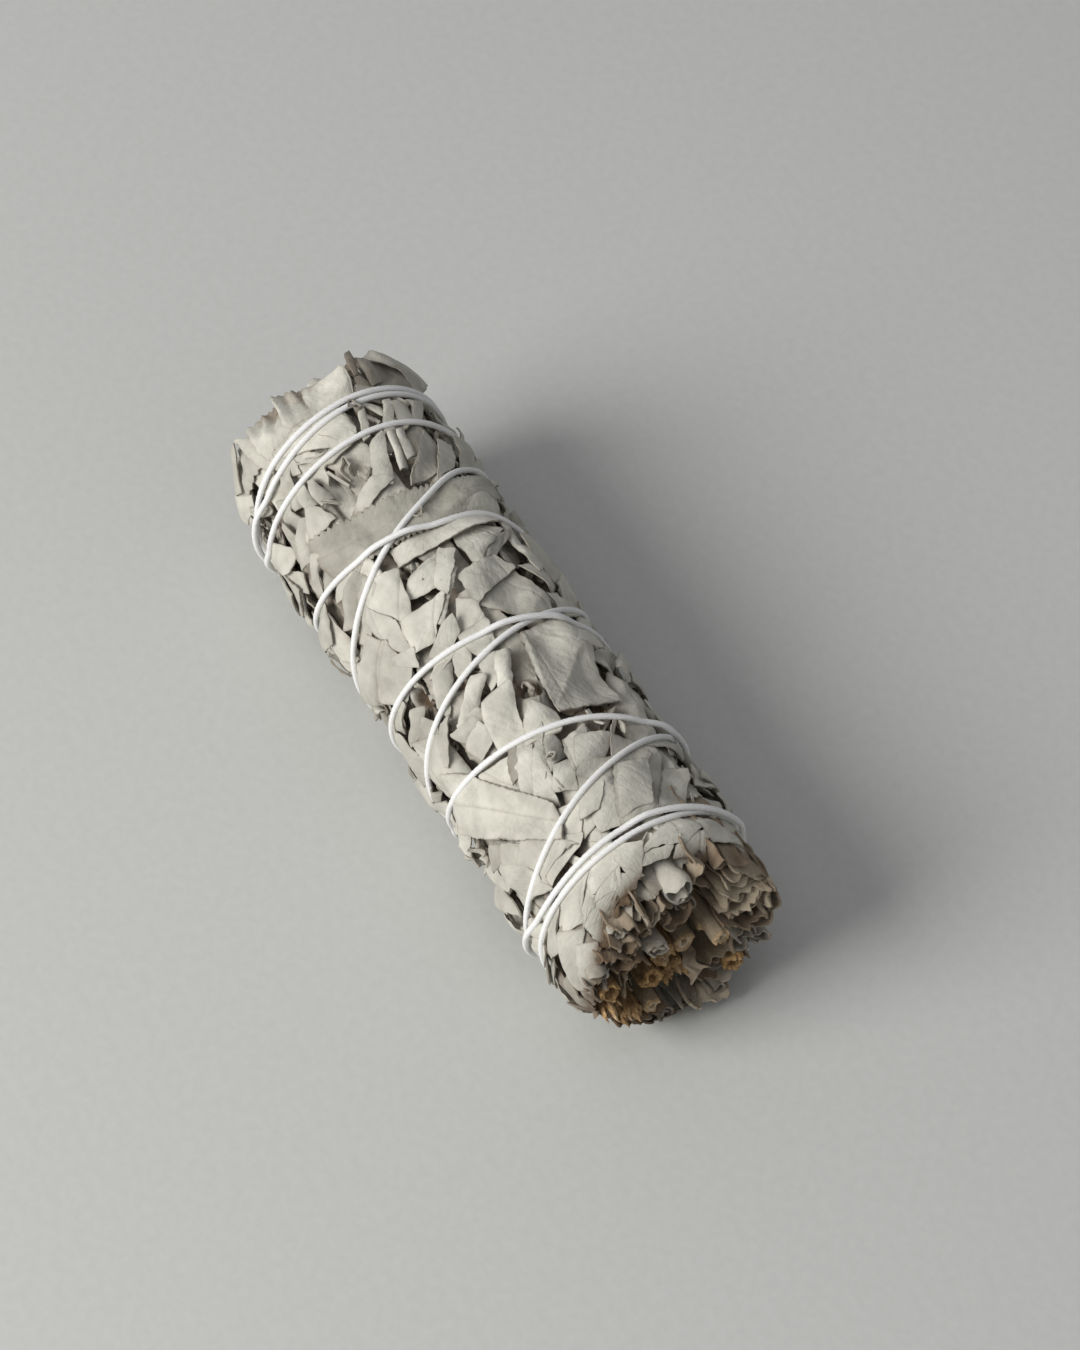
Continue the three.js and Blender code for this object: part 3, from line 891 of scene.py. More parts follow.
def roll(centre, size, turns, start, flat=1.0, lean=0.0):
    """The path of a rolled leaf: a spiral, flattened and leaning."""
    a = np.linspace(0, turns * TURN, 70)
    r = size * (0.45 + 0.55 * a / a.max())
    y, z = r * np.cos(a + start), r * flat * np.sin(a + start)
    c, s = math.cos(lean), math.sin(lean)
    return np.stack([centre[0] + y * c - z * s, centre[1] + y * s + z * c], -1)


def curve(*points):
    """A smooth path through points."""
    points = np.array(points, float)
    t = np.arange(len(points))
    fine = np.linspace(0, len(points) - 1, 16 * (len(points) - 1) + 1)
    path = np.stack([np.interp(fine, t, points[:, k]) for k in (0, 1)], -1)
    for _ in range(10):
        path[1:-1] = 0.25 * path[:-2] + 0.5 * path[1:-1] + 0.25 * path[2:]
    return path


def cut_at(path, out=0.0):
    """x of the cut end behind the middle of a path."""
    y, z = np.mean(path, axis=0)
    return float(face_x(math.atan2(y, z), math.hypot(y, z))) - out


def unit(degrees):
    """The direction across and up at an angle from the top."""
    return np.array([math.sin(math.radians(degrees)), math.cos(math.radians(degrees))])


# Rolled leaves in the cut end: the roll, then how far they stand out, their tone and how brown they are.
ROLLS = [
    (roll((-0.6, 11.6), 2.0, 1.5, 2.2, 0.9), 1.2, 0.9, 0.0),
    (roll((3.7, 4.3), 1.9, 1.25, 0.4, 0.5, 0.3), 0.4, 0.4, 0.3),
    (roll((-1.6, 8.1), 1.5, 1.1, 3.6, 0.8), -0.6, 0.2, 0.5), (roll((8.7, 9.2), 1.1, 1.6, 0.8), 0.4, 0.7, 0.2),
    (roll((13.0, 4.6), 1.2, 1.5, 2.8), 0.2, 0.6, 0.3), (roll((-9.6, -2.2), 1.3, 1.4, 1.2, 0.8), 0.0, 0.5, 0.3),
    (roll((-12.4, -4.2), 1.5, 1.2, 4.2, 0.7, 0.5), 0.2, 0.5, 0.3),
    (roll((-5.6, -12.0), 1.3, 1.3, 5.2, 0.8), 0.3, 0.5, 0.4), (roll((2.4, -12.8), 1.2, 1.4, 1.2, 0.9), 0.0, 0.5, 0.5),
]
# Folded ones: standing out, tone and brown, then the points across and up that the fold goes through.
FOLDS = [
    (0.8, 0.9, 0.0, (5.6, 13.0), (4.9, 9.0), (4.0, 6.6), (3.2, 8.0), (1.9, 11.6)),
    (0.5, 0.5, 0.2, (4.9, 12.0), (4.4, 9.0), (3.95, 7.4), (3.3, 8.8), (2.6, 11.2)),
    (0.6, 0.8, 0.1, (9.8, 11.0), (8.0, 9.9), (6.4, 10.4), (5.9, 8.2), (7.4, 6.6)),
    (0.5, 0.5, 0.3, (10.8, 9.4), (8.8, 8.0), (7.0, 8.6), (6.2, 6.2), (8.0, 4.6)),
    (0.4, 0.4, 0.6, (12.6, 7.6), (10.0, 6.8), (8.2, 5.4), (7.0, 3.4), (9.2, 2.2)),
    (-0.3, 0.2, 0.5, (1.6, 8.6), (2.2, 6.4), (0.8, 5.4), (-1.2, 6.2), (-2.0, 8.8)),
    (0.5, 0.3, 0.4, (-12.9, 1.8), (-11.0, 0.2), (-8.6, 0.6), (-7.2, 2.2), (-5.8, 4.0)),
    (0.4, 0.5, 0.2, (-14.6, 4.4), (-14.6, 1.2), (-13.2, -1.4), (-11.0, -1.2)),
    (0.6, 0.9, -0.1, (-3.4, -4.8), (-2.6, -5.4), (-1.7, -5.1), (-1.1, -6.4)),
    (1.0, 1.0, -0.2, (-0.6, -10.6), (-2.0, -13.6), (-3.8, -12.4), (-5.6, -13.8), (-7.6, -13.0)),
    (-0.4, 0.4, 0.5, (-10.6, -5.0), (-9.8, -9.6), (-5.6, -10.6), (-2.4, -8.2)),
    (0.2, 0.3, 0.6, (5.0, 2.8), (6.6, 4.2), (8.8, 3.4), (10.4, 4.6)),
    (0.0, 0.5, 0.4, (14.6, 2.0), (12.6, 1.2), (13.8, -1.6), (13.2, -5.2)),
    (0.3, 0.4, 0.6, (10.8, -6.6), (8.8, -10.0), (5.2, -11.4), (2.2, -10.4)),
    (0.5, 0.7, 0.2, (-3.6, 15.0), (-4.6, 13.2), (-3.0, 12.2), (-3.4, 9.8), (-5.2, 8.8)),
    (0.7, 0.6, 0.4, (-7.6, 13.6), (-6.2, 12.0), (-8.6, 11.0), (-11.4, 9.8)),
]
# Woody twigs: across, up, radius, how far they stand out, and style as in STEM_STYLES.
TWIGS = [
    (11.1, -0.2, 1.7, 0.3, 1), (11.2, -3.9, 1.3, 0.4, 2), (8.0, -7.6, 1.6, 0.4, 2), (4.4, -9.0, 1.3, 0.1, 0),
    (-8.3, -7.6, 1.6, 0.3, 1), (-5.4, 1.6, 1.3, 1.2, 0),
]
PINCH = np.array([-13.4, 7.0])  # across and up, where the pages are pinched together


def build_face():
    """What fills the cut end: a fan of leaves pressed together like pages, rolled leaves, folds and woody twigs."""
    rng = np.random.default_rng(77)
    t = np.linspace(0, 1, 44)
    for n in range(12):
        toward = (7.9 - 0.25 * abs(n - 5)) * unit(42 + 12.5 * n)
        side = np.array([toward[1], -toward[0]]) / np.linalg.norm(toward)
        sway = (0.8 * np.sin(math.pi * t) * (1 - n / 6) + 0.28 * np.sin(t * 8 + n * 1.3)) * t
        path = PINCH + toward * (0.05 + 0.95 * t)[:, None] + side * sway[:, None]
        start = cut_at(path, 0.6 - rng.uniform(0, 1.2))
        page = free_sheet(path, start, -37, n, 0.45 + 0.5 * rng.random(), 0.28, thickness=0.3)
        add_leaf(f"leaf_page_{n + 1:02d}", page, PAGE)
    rows = ROLLS + [(curve(*points), out, tone, brown) for out, tone, brown, *points in FOLDS]
    sheets = [
        free_sheet(path, cut_at(path, out), -34, 30 + n, tone, 0.25 + brown, 0.3)
        for n, (path, out, tone, brown) in enumerate(rows)
    ]
    rolled, folded = sheets[: len(ROLLS)], sheets[len(ROLLS) :]
    for n, data in enumerate(rolled):
        add_leaf(f"rolled_leaf_{n + 1:02d}", data, LEAF)
    for n in range(5):
        add_leaf(f"folded_leaf_{n + 1:02d}", join_data(folded[n::5]), PAGE)
    for n, (y, z, size, out, style) in enumerate(TWIGS):
        stem_piece(f"woody_stem_{n + 1:02d}", FACE_X - out, -22, y, z, size, 90 + 3 * n + style)


def build_tips():
    """Folded and curled leaf tips that fill the far end, a disk of them and a ring round it."""
    rng = np.random.default_rng(88)
    sheets = []
    for n in range(26):
        radius, angle = 7.4 * math.sqrt((n + 0.5) / 26), n * 2.4
        centre = (radius * math.sin(angle), radius * math.cos(angle))
        size, turns, start = rng.uniform(1.2, 2.3), rng.uniform(0.5, 1.25), rng.uniform(0, TURN)
        path = roll(centre, size, turns, start, rng.uniform(0.3, 0.85), rng.uniform(0, TURN))
        sheets.append((path, rng.uniform(0, 4.0)))
    for n in range(30):
        radius, angle = rng.uniform(8.6, 13.2), (n + rng.uniform(-0.3, 0.3)) / 30 * TURN
        centre = (radius * math.sin(angle), radius * math.cos(angle))
        size, turns, start = rng.uniform(1.2, 2.2), rng.uniform(0.5, 1.1), rng.uniform(0, TURN)
        path = roll(centre, size, turns, start, 0.35, -angle + rng.normal(0, 0.3))
        sheets.append((path, rng.uniform(0.2, 2.0)))
    data = [
        free_sheet(path, 49.0 - deep, 28, 60 + n, rng.random(), 0.4 * rng.random() ** 2, 0.9, 0.26)
        for n, (path, deep) in enumerate(sheets)
    ]
    for n in range(4):
        add_leaf(f"tip_leaves_{n + 1:02d}", join_data(data[n::4]), LEAF)


def build_inner():
    for layer, count, first_seed, recess, material in (("inner", 16, 0, 0.4, INNER), ("middle", 20, 40, 0.2, LEAF)):
        for n in range(1, count + 1):
            node = f"{layer}_leaf_{n:02d}"
            data = wound_sheet(node, first_seed + n, recess + 1.2 * RNG.random())
            add_leaf(node + "_dry", data, material, node)


PATCHES = [  # fold, how strong, tone, then the corners as (x, degrees): two along one side, two back along the other
    ("edged", 0.7, 0.5, (43.7, 74), (43.7, 52), (49.3, 56), (49.5, 72)),
    ("arched", 1, 0.7, (50.2, 60), (41.8, 53), (43.6, 43), (45.6, 42)),
    ("arched", 1, 0.3, (48.9, -3), (44.2, -7), (44.9, -15), (49.3, -13)),
    ("cupped", 1, 0.1, (46.8, -13), (44.6, -14), (45.3, -23), (47.8, -27)),
    ("arched", 1, -0.25, (50.3, -22), (43.6, -24), (43.8, -66), (50.0, -60)),
    ("folded", 1.2, 0.35, (49.4, -34), (44.1, -52), (46.2, -64), (50.6, -39)),
    ("folded", 0.5, 0.75, (49.6, -27), (45.0, -57), (46.1, -62), (50.3, -31)),
    ("folded", 1.2, -0.5, (47.8, -12), (44.2, -14), (44.6, -18), (48.1, -16)),
    ("folded", 1.3, -0.3, (49.6, -19), (44.9, -21), (45.3, -27), (49.0, -25)),
    ("rolled", 0.8, -0.6, (50.2, -14), (46.6, -12), (46.9, -16), (50.5, -19)),
    ("folded", 1.0, 0.3, (49.5, 66), (45.8, 82), (44.6, 74), (49.2, 60)),
    ("edged", 1.0, 0.9, (42.7, 48), (43.2, 27), (50.5, 25), (49.6, 49)),
    ("edged", 0.6, 0.85, (43.2, 30), (43.6, 12), (49.8, 12), (50.5, 29)),
    ("flat", 1, 0.95, (49.1, 13), (43.9, 16), (44.1, -8), (48.6, -10)),
    ("arched", 1, 0.6, (42.7, 46), (39.4, 49), (38.1, 39), (40.4, 38)),
    ("rolled", 0.7, 0.6, (41.6, 43), (38.0, 52), (36.7, 46), (40.0, 40)),
    ("arched", 1, 0.5, (42.7, 4), (37.6, 9), (38.2, 2), (40.7, -0)),
    ("arched", 1, 0.5, (39.0, 37), (35.6, 23), (37.0, 4), (37.8, 27)),
    ("cupped", 0.5, 1.0, (42.1, 43), (36.5, 11), (37.7, 4), (43.6, 27)),
    ("flat", 1, 0.85, (43.7, 27), (37.2, 11), (38.0, 2), (42.9, 5)),
    ("arched", 1, 0, (44.6, -11), (42.8, -10), (42.2, -23), (43.8, -26)),
    ("rolled", 0.9, 0.4, (41.4, -8), (38.5, -14), (39.9, -18), (42.3, -11)),
    ("rolled", 0.8, 0.5, (41.0, -4), (36.3, 2), (36.7, -4), (40.8, -8)),
    ("rolled", 0.9, 0.6, (41.5, -20), (35.9, -10), (36.1, -17), (41.7, -26)),
    ("folded", 0.9, 0.7, (40.1, -22), (36.5, -25), (38.1, -34), (40.5, -28)),
    ("rolled", 0.9, 0.6, (40.7, -33), (37.3, -32), (37.4, -38), (40.8, -45)),
    ("arched", 1.4, 0.65, (35.9, -8), (27.6, 3), (28.8, 10), (34.6, -0)),
    ("arched", 1.4, 0.6, (27.9, 3), (25.9, 28), (27.4, 29), (29.3, 10)),
    ("rolled", 0.8, 0.8, (35.6, -15), (29.4, -10), (28.9, -5), (35.1, -10)),
    ("rolled", 0.8, 0.5, (35.4, -20), (30.3, -15), (29.5, -9), (34.9, -15)),
    ("cupped", 0.6, 0.3, (33.8, -28), (26.3, -7), (27.2, -23), (31.7, -31)),
    ("arched", 1, 0.6, (32.1, -34), (26.3, -23), (27.8, -36), (31.6, -43)),
    ("rolled", 0.8, 0.5, (33.4, -45), (26.8, -42), (29.4, -57), (36.2, -65)),
    ("rolled", 0.7, 0.6, (40.0, 51), (34.6, 55), (33.9, 48), (38.3, 46)),
    ("rolled", 0.7, 0.8, (36.5, 48), (32.3, 48), (32.2, 41), (36.5, 41)),
    ("rolled", 0.8, 0.4, (35.6, 39), (31.3, 40), (31.6, 32), (34.9, 34)),
    ("arched", 1, 0.9, (37.7, 62), (30.9, 68), (31.9, 54), (36.4, 55)),
    ("folded", 1, 0.5, (34.6, 65), (30.0, 74), (29.9, 63), (33.5, 61)),
    ("rolled", 0.6, 0.7, (31.9, 55), (28.6, 75), (26.9, 62), (30.9, 48)),
    ("arched", 1, 0.8, (32.0, 47), (28.3, 55), (28.5, 38), (31.1, 41)),
    ("arched", 1, 0.2, (25.3, 55), (22.4, 71), (21.1, 54), (22.5, 46)),
    ("arched", 1, 0.7, (23.0, 48), (19.5, 66), (17.9, 49), (19.4, 38)),
    ("folded", 1, 0.2, (19.5, 46), (16.1, 72), (14.6, 66), (17.9, 42)),
    ("arched", 1.2, 0.7, (17.7, 43), (12.7, 70), (10.1, 65), (15.0, 39)),
    ("rolled", 0.7, 0.6, (15.6, -37), (6.0, -37), (8.3, -50), (16.9, -48)),
    ("rolled", 0.6, 0.4, (12.9, -43), (4.1, -43), (7.5, -61), (15.3, -60)),
    ("folded", 1, 0.1, (13.2, -17), (10.0, -12), (10.3, -24), (13.9, -38)),
    ("arched", 1, 0.75, (15.7, -9), (9.5, -9), (14.7, -34), (17.3, -19)),
    ("arched", 0.8, 0.95, (18.5, 22), (17.6, -41), (15.5, -34), (15.4, 24)),
    ("arched", 0.4, 0.3, (3.2, 3), (-0.5, -14), (-0.2, -34), (7.4, -25)),
    ("arched", 0.7, 0.5, (5.4, 11), (0.2, 21), (-0.4, 4), (3.5, 3)),
    ("flat", 1, 0.45, (8.4, 3), (3.5, 3), (7.4, -26), (9.9, -20)),
    ("arched", 1, 0.8, (14.0, 6), (13.0, 23), (10.1, 30), (9.4, 13)),
    ("rolled", 0.7, 0.7, (10.8, 3), (4.6, 26), (3.3, 22), (9.7, 1)),
    ("arched", 1, 0.6, (14.3, 2), (9.0, 15), (6.8, 12), (12.7, -3)),
    ("arched", 0.5, 0.85, (16.7, 39), (14.3, 51), (6.5, 34), (14.3, 26)),
    ("arched", 0.5, 0.8, (14.3, 51), (9.7, 56), (2.4, 43), (7.9, 40)),
    ("arched", 0.8, 1.0, (7.4, 37), (2.9, 42), (2.4, 30), (7.1, 13)),
    ("rolled", 0.7, 0.7, (26.9, 60), (24.3, 78), (22.4, 71), (25.2, 54)),
    ("rolled", 0.7, 0.8, (23.3, 85), (20.5, 108), (16.3, 82), (21.3, 74)),
    ("rolled", 0.6, 0.8, (10.8, 59), (8.5, 94), (3.6, 81), (7.7, 53)),
    ("arched", 1, 0.95, (7.8, 53), (3.4, 77), (-0.1, 69), (1.9, 48)),
    ("arched", 1, 0.8, (4.7, 53), (3.2, 52), (1.5, 45), (3.0, 41)),
    ("arched", 1, 0.6, (1.1, 36), (3.2, 18), (1.1, 18), (-0.2, 31)),
    ("rolled", 0.6, 0.6, (-1.0, 39), (-4.9, 51), (-7.6, 47), (-1.8, 29)),
    ("arched", 1.1, 0.7, (-0.5, 27), (-4.7, 32), (-4.2, 23), (-0.7, 17)),
    ("arched", 0.8, 0.6, (0.1, 19), (-4.3, 17), (-3.0, 6), (0.3, 4)),
    ("arched", 0.8, 0.8, (1.0, 31), (-1.7, 42), (-2.1, 34), (-0.5, 25)),
    ("arched", 1, 0.5, (-4.1, 18), (-8.6, 21), (-8.4, 15), (-4.5, 10)),
    ("rolled", 0.7, 0.9, (-4.6, 10), (-12.0, 23), (-12.9, 17), (-5.7, 2)),
    ("rolled", 0.7, 0.7, (-5.7, 27), (-9.5, 47), (-10.8, 40), (-7.6, 20)),
    ("folded", 1, 0.7, (-10.4, 45), (-11.5, 46), (-11.5, 31), (-10.4, 32)),
    ("folded", 1, 0.4, (-11.0, 49), (-12.7, 47), (-12.9, 31), (-11.7, 32)),
    ("arched", 1, 0.9, (-12.5, 36), (-13.6, 48), (-15.7, 46), (-14.8, 33)),
    ("rolled", 0.7, 0.6, (-1.8, 68), (-5.1, 77), (-6.0, 65), (-3.3, 58)),
    ("arched", 1.1, 0.7, (-4.8, 60), (-7.3, 79), (-10.7, 69), (-7.1, 57)),
    ("rolled", 0.7, 0.6, (-7.4, 56), (-10.7, 69), (-13.2, 60), (-8.3, 46)),
    ("arched", 1, 0.8, (1.1, 87), (-2.1, 80), (-0.9, 65), (0.5, 69)),
    ("rolled", 0.7, 0.7, (-1.2, 84), (-5.1, 90), (-6.4, 78), (-2.8, 78)),
    ("rolled", 0.7, 0.7, (-5.4, 88), (-7.9, 99), (-10.3, 76), (-6.5, 79)),
    ("arched", 0.3, 0.95, (-17.9, 53), (-26.3, 34), (-20.6, 22), (-19.2, 27)),
    ("folded", 1, 0.8, (-19.3, 26), (-24.8, 37), (-26.4, 33), (-20.2, 21)),
    ("arched", 1, 0.85, (-20.3, 19), (-26.7, 33), (-28.9, 27), (-20.1, 13)),
    ("arched", 1, 0.4, (-20.0, 14), (-24.9, 19), (-23.4, 10), (-20.2, 8)),
    ("cupped", 1, 0.5, (-25.1, 18), (-28.0, 24), (-28.9, 15), (-25.3, 8)),
    ("folded", 1, 0.7, (-21.9, 7), (-26.9, 11), (-23.9, -3), (-20.6, -8)),
    ("arched", 1.2, 0.6, (-22.8, 2), (-28.1, 11), (-26.8, -6), (-23.9, -16)),
    ("arched", 1.1, 0.6, (-30.0, 15), (-35.4, 25), (-34.7, 11), (-29.8, 3)),
    ("arched", 0.8, 0.8, (-30.4, 27), (-34.3, 34), (-35.1, 27), (-30.2, 14)),
    ("arched", 1, 0.4, (-26.7, -31), (-37.4, -11), (-36.8, -16), (-28.7, -36)),
    ("arched", 0.9, 0.55, (-26.6, 7), (-36.4, 18), (-36.9, 4), (-27.4, -9)),
    ("arched", 0.4, 0.35, (-24.9, -14), (-36.9, 7), (-37.2, -11), (-26.3, -32)),
    ("folded", 1, 0.3, (-25.2, 73), (-28.7, 78), (-28.4, 64), (-27.0, 63)),
    ("arched", 0.6, 0.95, (-27.7, 61), (-31.6, 78), (-34.0, 60), (-31.0, 48)),
    ("arched", 0.6, 0.8, (-31.0, 48), (-33.9, 61), (-37.5, 55), (-33.2, 39)),
    ("arched", 0.7, 0.75, (-33.1, 38), (-37.2, 53), (-36.3, 29), (-35.0, 25)),
    ("flat", 1, 1.0, (-10.8, 29), (-17.2, 36), (-19.2, 24), (-10.3, 12)),
    ("flat", 1, 0.9, (-14.2, 10), (-19.2, 24), (-19.9, 5), (-17.2, 1)),
    ("folded", 1, 0.2, (-25.0, 75), (-27.7, 80), (-29.0, 69), (-27.4, 64)),
    ("arched", 0.8, 0.9, (-27.7, 63), (-32.2, 76), (-32.3, 62), (-31.1, 50)),
    ("arched", 0.8, 0.8, (-30.2, 52), (-33.8, 70), (-34.6, 54), (-32.8, 41)),
    ("arched", 0.8, 0.6, (-33.2, 39), (-35.8, 50), (-35.7, 34), (-36.0, 30)),
    ("arched", 0.8, 1.0, (-38.4, 69), (-43.2, 81), (-44.4, 70), (-40.0, 57)),
    ("arched", 0.6, 1.0, (-38.9, 53), (-44.0, 61), (-45.0, 49), (-38.1, 28)),
    ("arched", 1, 0.8, (-38.3, 29), (-45.3, 50), (-44.8, 41), (-38.3, 26)),
    ("flat", 1, 1.0, (-37.2, 25), (-43.6, 38), (-42.3, 18), (-38.3, 18)),
    ("arched", 0.6, 0.9, (-43.6, 38), (-44.6, 41), (-45.3, 24), (-43.0, 20)),
    ("arched", 0.6, 0.95, (-44.4, 43), (-46.3, 52), (-47.1, 36), (-45.5, 23)),
    ("arched", 0.6, 0.9, (-45.8, 51), (-48.0, 52), (-48.6, 39), (-47.4, 31)),
    ("arched", 0.6, 0.9, (-47.4, 50), (-49.7, 58), (-51.2, 50), (-48.7, 40)),
    ("arched", 0.6, 0.7, (-38.7, 18), (-42.5, 19), (-45.6, 12), (-41.4, 4)),
    ("folded", 1, 0.7, (-41.9, 18), (-47.5, 18), (-46.7, 12), (-42.8, 14)),
    ("arched", 0.8, 0.6, (-43.2, 25), (-46.7, 28), (-47.3, 15), (-44.7, 17)),
    ("arched", 0.7, 0.95, (-42.6, 5), (-44.0, -14), (-42.3, -14), (-39.6, -14)),
    ("arched", 0.7, 1.0, (-43.1, 5), (-44.7, 9), (-45.4, -5), (-44.0, -8)),
    ("arched", 0.7, 1.0, (-44.0, -11), (-45.8, -8), (-46.7, -26), (-43.1, -30)),
    ("arched", 0.8, 0.6, (-39.9, -16), (-44.1, -15), (-42.4, -26), (-39.5, -21)),
    ("arched", 0.8, 0.6, (-41.0, -27), (-44.8, -32), (-44.7, -51), (-40.8, -38)),
    ("arched", 0.5, 0.5, (-28.6, -9), (-36.2, 5), (-36.4, -11), (-29.5, -24)),
    ("arched", 0.5, 0.45, (-31.0, -33), (-36.9, -15), (-37.8, -29), (-31.5, -45)),
    ("arched", 1.1, 0.6, (-28.2, 11), (-33.4, 21), (-33.6, 12), (-30.1, 3)),
]


def middle_of(row, k):
    """The mean x, for k = 0, or the mean degrees, for k = 1, of a patch's corners."""
    return sum(corner[k] for corner in row[3:]) / 4


def rim_order(row):
    """The leaf ends nearest the cut end are laid first, so the ones behind overlap them."""
    middle = middle_of(row, 0)
    return middle if middle < -40 else 0


KINDS = ["arched", "arched", "rolled", "rolled", "folded", "folded", "cupped", "flat", "pleated"]


def chance_leaf(rng, seed, lengths, widths, spread, span, tries):
    """One leaf of chance size and fold, laid where the bundle is thin."""
    length, width = rng.uniform(*lengths), rng.uniform(*widths)
    yaw = rng.normal(0, 0.9 if rng.random() < 0.15 else spread) + (math.pi if rng.random() < 0.5 else 0)
    x, angle = lowest_place(length, width, yaw, span, rng, tries)
    reach = abs(math.cos(yaw)) * length / 2
    x = float(np.clip(x, -HALF + reach - 0.5, HALF - reach + 0.5))
    kind = KINDS[rng.integers(len(KINDS))]
    amount = {"folded": rng.uniform(0, 1.4), "rolled": rng.uniform(0.3, 0.8), "pleated": rng.uniform(0.6, 1.2)}
    p = amount.get(kind, rng.uniform(0.7, 1.7))
    if kind == "folded":
        width *= 1.5
    ends = (rng.choice([0.05, 0.3, 0.4]), rng.choice([0.97, 0.75, 0.62]))
    data = lay_leaf(
        x, angle, length, width, yaw, rng.normal(0, 0.006), kind, p, seed, ends, crumple=rng.uniform(0.05, 0.16),
        crease=rng.uniform(0.03, 0.14), jag=(0.3, 0.3), skew=rng.normal(0, 0.45, 2), stiff=rng.uniform(1.8, 2.8),
        lift_end=rng.choice([0, 0.25, 0.5], 2), tilt=rng.normal(0, 0.12, 2),
    )
    return x, angle, data


# The broad leaves that nothing small lies on: x, degrees, and how far they reach each way.
BROAD = [
    (24.3, 0, 5.0, 62), (-10, -20, 9, 24), (-23.5, 60, 11, 33), (-15, 15, 6, 18), (12, -20, 5, 20), (-31, -12, 7, 22),
]


def over_broad(x, angle):
    return any(
        abs(x - cx) < reach and abs(math.remainder(angle - math.radians(degrees), TURN)) < math.radians(around)
        for cx, degrees, reach, around in BROAD
    )


def lay_shreds(rng, count, seed, longest):
    """Narrow curled strips and crumbs in the gaps."""
    found = []
    for n in range(count):
        length, width = rng.uniform(2.0, longest), rng.uniform(0.8, 2.0)
        yaw = rng.normal(0, 0.5) + (math.pi if rng.random() < 0.5 else 0)
        x, angle = lowest_place(length, width, yaw, (-43, 46), rng, 24)
        kind = ["tube", "folded", "cupped", "arched"][rng.integers(4)]
        if over_broad(x, angle):
            continue
        bend, p = rng.normal(0, 0.05), rng.uniform(1.5, 3.6) if kind == "tube" else 1.5
        found.append(lay_leaf(
            x, angle, length, width, yaw, bend, kind, p, seed + n, (0.3, 0.75), crumple=0.06, crease=0.05,
            jag=(0.2, 0.2), ease=rng.uniform(0, 0.2), stiff=1.3, tilt=rng.normal(0, 0.3, 2), thickness=0.2,
            toothed=0.04,
        ))
    return found


BED = 24  # long leaves laid first
RIM_START = -37.5  # patches that begin past this x reach the cut end
RIM_STYLE = dict(ease=0.34, crumple=0.03, stiff=5, crease=0.04, tilt=(0, 0), thickness=0.3)  # of ends at the cut


def build_surface():
    """The leaves under the string, from the ones beneath to the ones on top."""
    rng = np.random.default_rng(5)
    scraps = []
    laid = [chance_leaf(rng, n, (30, 46), (7, 10), 0.08, (-26, 26), 26) for n in range(BED)]
    for n in range(44):
        if n % 2:  # longer ones and shorter ones in turn
            laid.append(chance_leaf(rng, 100 + n, (12, 26), (4.5, 8), 0.3, (-42, 43), 12))
        else:
            scraps.append(chance_leaf(rng, 200 + n, (9, 18), (3.5, 6.5), 0.45, (-45, 46), 10)[2])
    scraps += lay_shreds(rng, 110, 400, 9)
    # The same kinds of leaves again, shifted and one time mirrored, on the two thirds of the bundle behind.
    for copy, (turn, mirror) in enumerate([(118, -1), (236, 1)]):
        for n, (kind, p, tone, *corners) in enumerate(PATCHES):
            corners = [(x + 1.5 * math.sin(n * 2.4), a) for x, a in corners]
            scraps.append(lay_patch(kind, p, tone, *corners, seed=500 * copy + n, turn=turn, mirror=mirror))
    scraps += lay_shreds(rng, 70, 550, 7)
    front = []
    for n, row in enumerate(sorted(PATCHES, key=rim_order)):
        kind, p, tone, *corners = row
        # Painted shade: the patches on the lit side, 25 to 60 degrees round towards +Y, get a darker tone.
        tone = tone * (1 - 0.65 * float(smoothstep(middle_of(row, 1), 25, 60)))
        style = RIM_STYLE if corners[0][0] < RIM_START else {}
        front.append(lay_patch(kind, p, tone, *corners, seed=1500 + n, **style))
    scraps += lay_shreds(rng, 110, 700, 4.5)
    return laid, scraps + front


RINGLET_HALF = 0.7  # half the width of a curled strip


def ringlet(x, degrees, size, turns, start, flat, tone, brown, seed):
    """A thin strip curled up on its edge."""
    rng = np.random.default_rng(4000 + seed)
    a = np.linspace(0, turns * TURN, int(46 * turns))[:, None]
    r = size * (0.3 + 0.7 * a / a.max()) * (1 + 0.25 * np.sin(2.3 * a + seed))
    angle = math.radians(degrees)
    base = float(sample(blur(widen(height, 2), 2), np.array([[x]]), np.array([[angle]])).item())
    tall = np.linspace(-RINGLET_HALF, RINGLET_HALF, 7)[None, :]
    px = x + r * np.cos(a + start) + 0.25 * tall * np.sin(a * 0.7)
    pa = angle + flat * r * np.sin(a + start) / UNROLL + 0.01 * waves(4, 2, 5, rng)(a * size, tall)
    radius = base + tall * (1 - 0.5 * a / a.max()) + 0 * a
    tint = ((tall / RINGLET_HALF + 1) / 2, brown + 0.5 * (tall < -0.2), tone)
    return sheet_data(place(px, pa, radius), 0.2, a * size, tall, tint, 37.0)


def build_ringlets():
    rows = [
        (33.4, 17, 2.3, 1.05, 2.2, 0.5, 0.9, 0.0), (31.0, 12, 1.5, 0.8, 0.5, 0.8, 0.7, 0.1),
        (41.4, -4, 1.3, 1.0, 1.0, 0.9, 0.5, 0.4), (21.2, -1, 0.9, 0.9, 3.0, 1.0, 0.9, 0.0),
        (-23.6, 17, 0.9, 1.0, 0.0, 1.0, 0.9, 0.0), (-12.2, 6, 1.3, 0.8, 2.0, 0.8, 0.6, 0.3),
    ]
    rows += [(x, degrees + 120 * k, *rest) for k in (1, 2) for x, degrees, *rest in rows]
    add_leaf("curled_scraps", join_data([ringlet(*row, n) for n, row in enumerate(rows)]), LEAF)


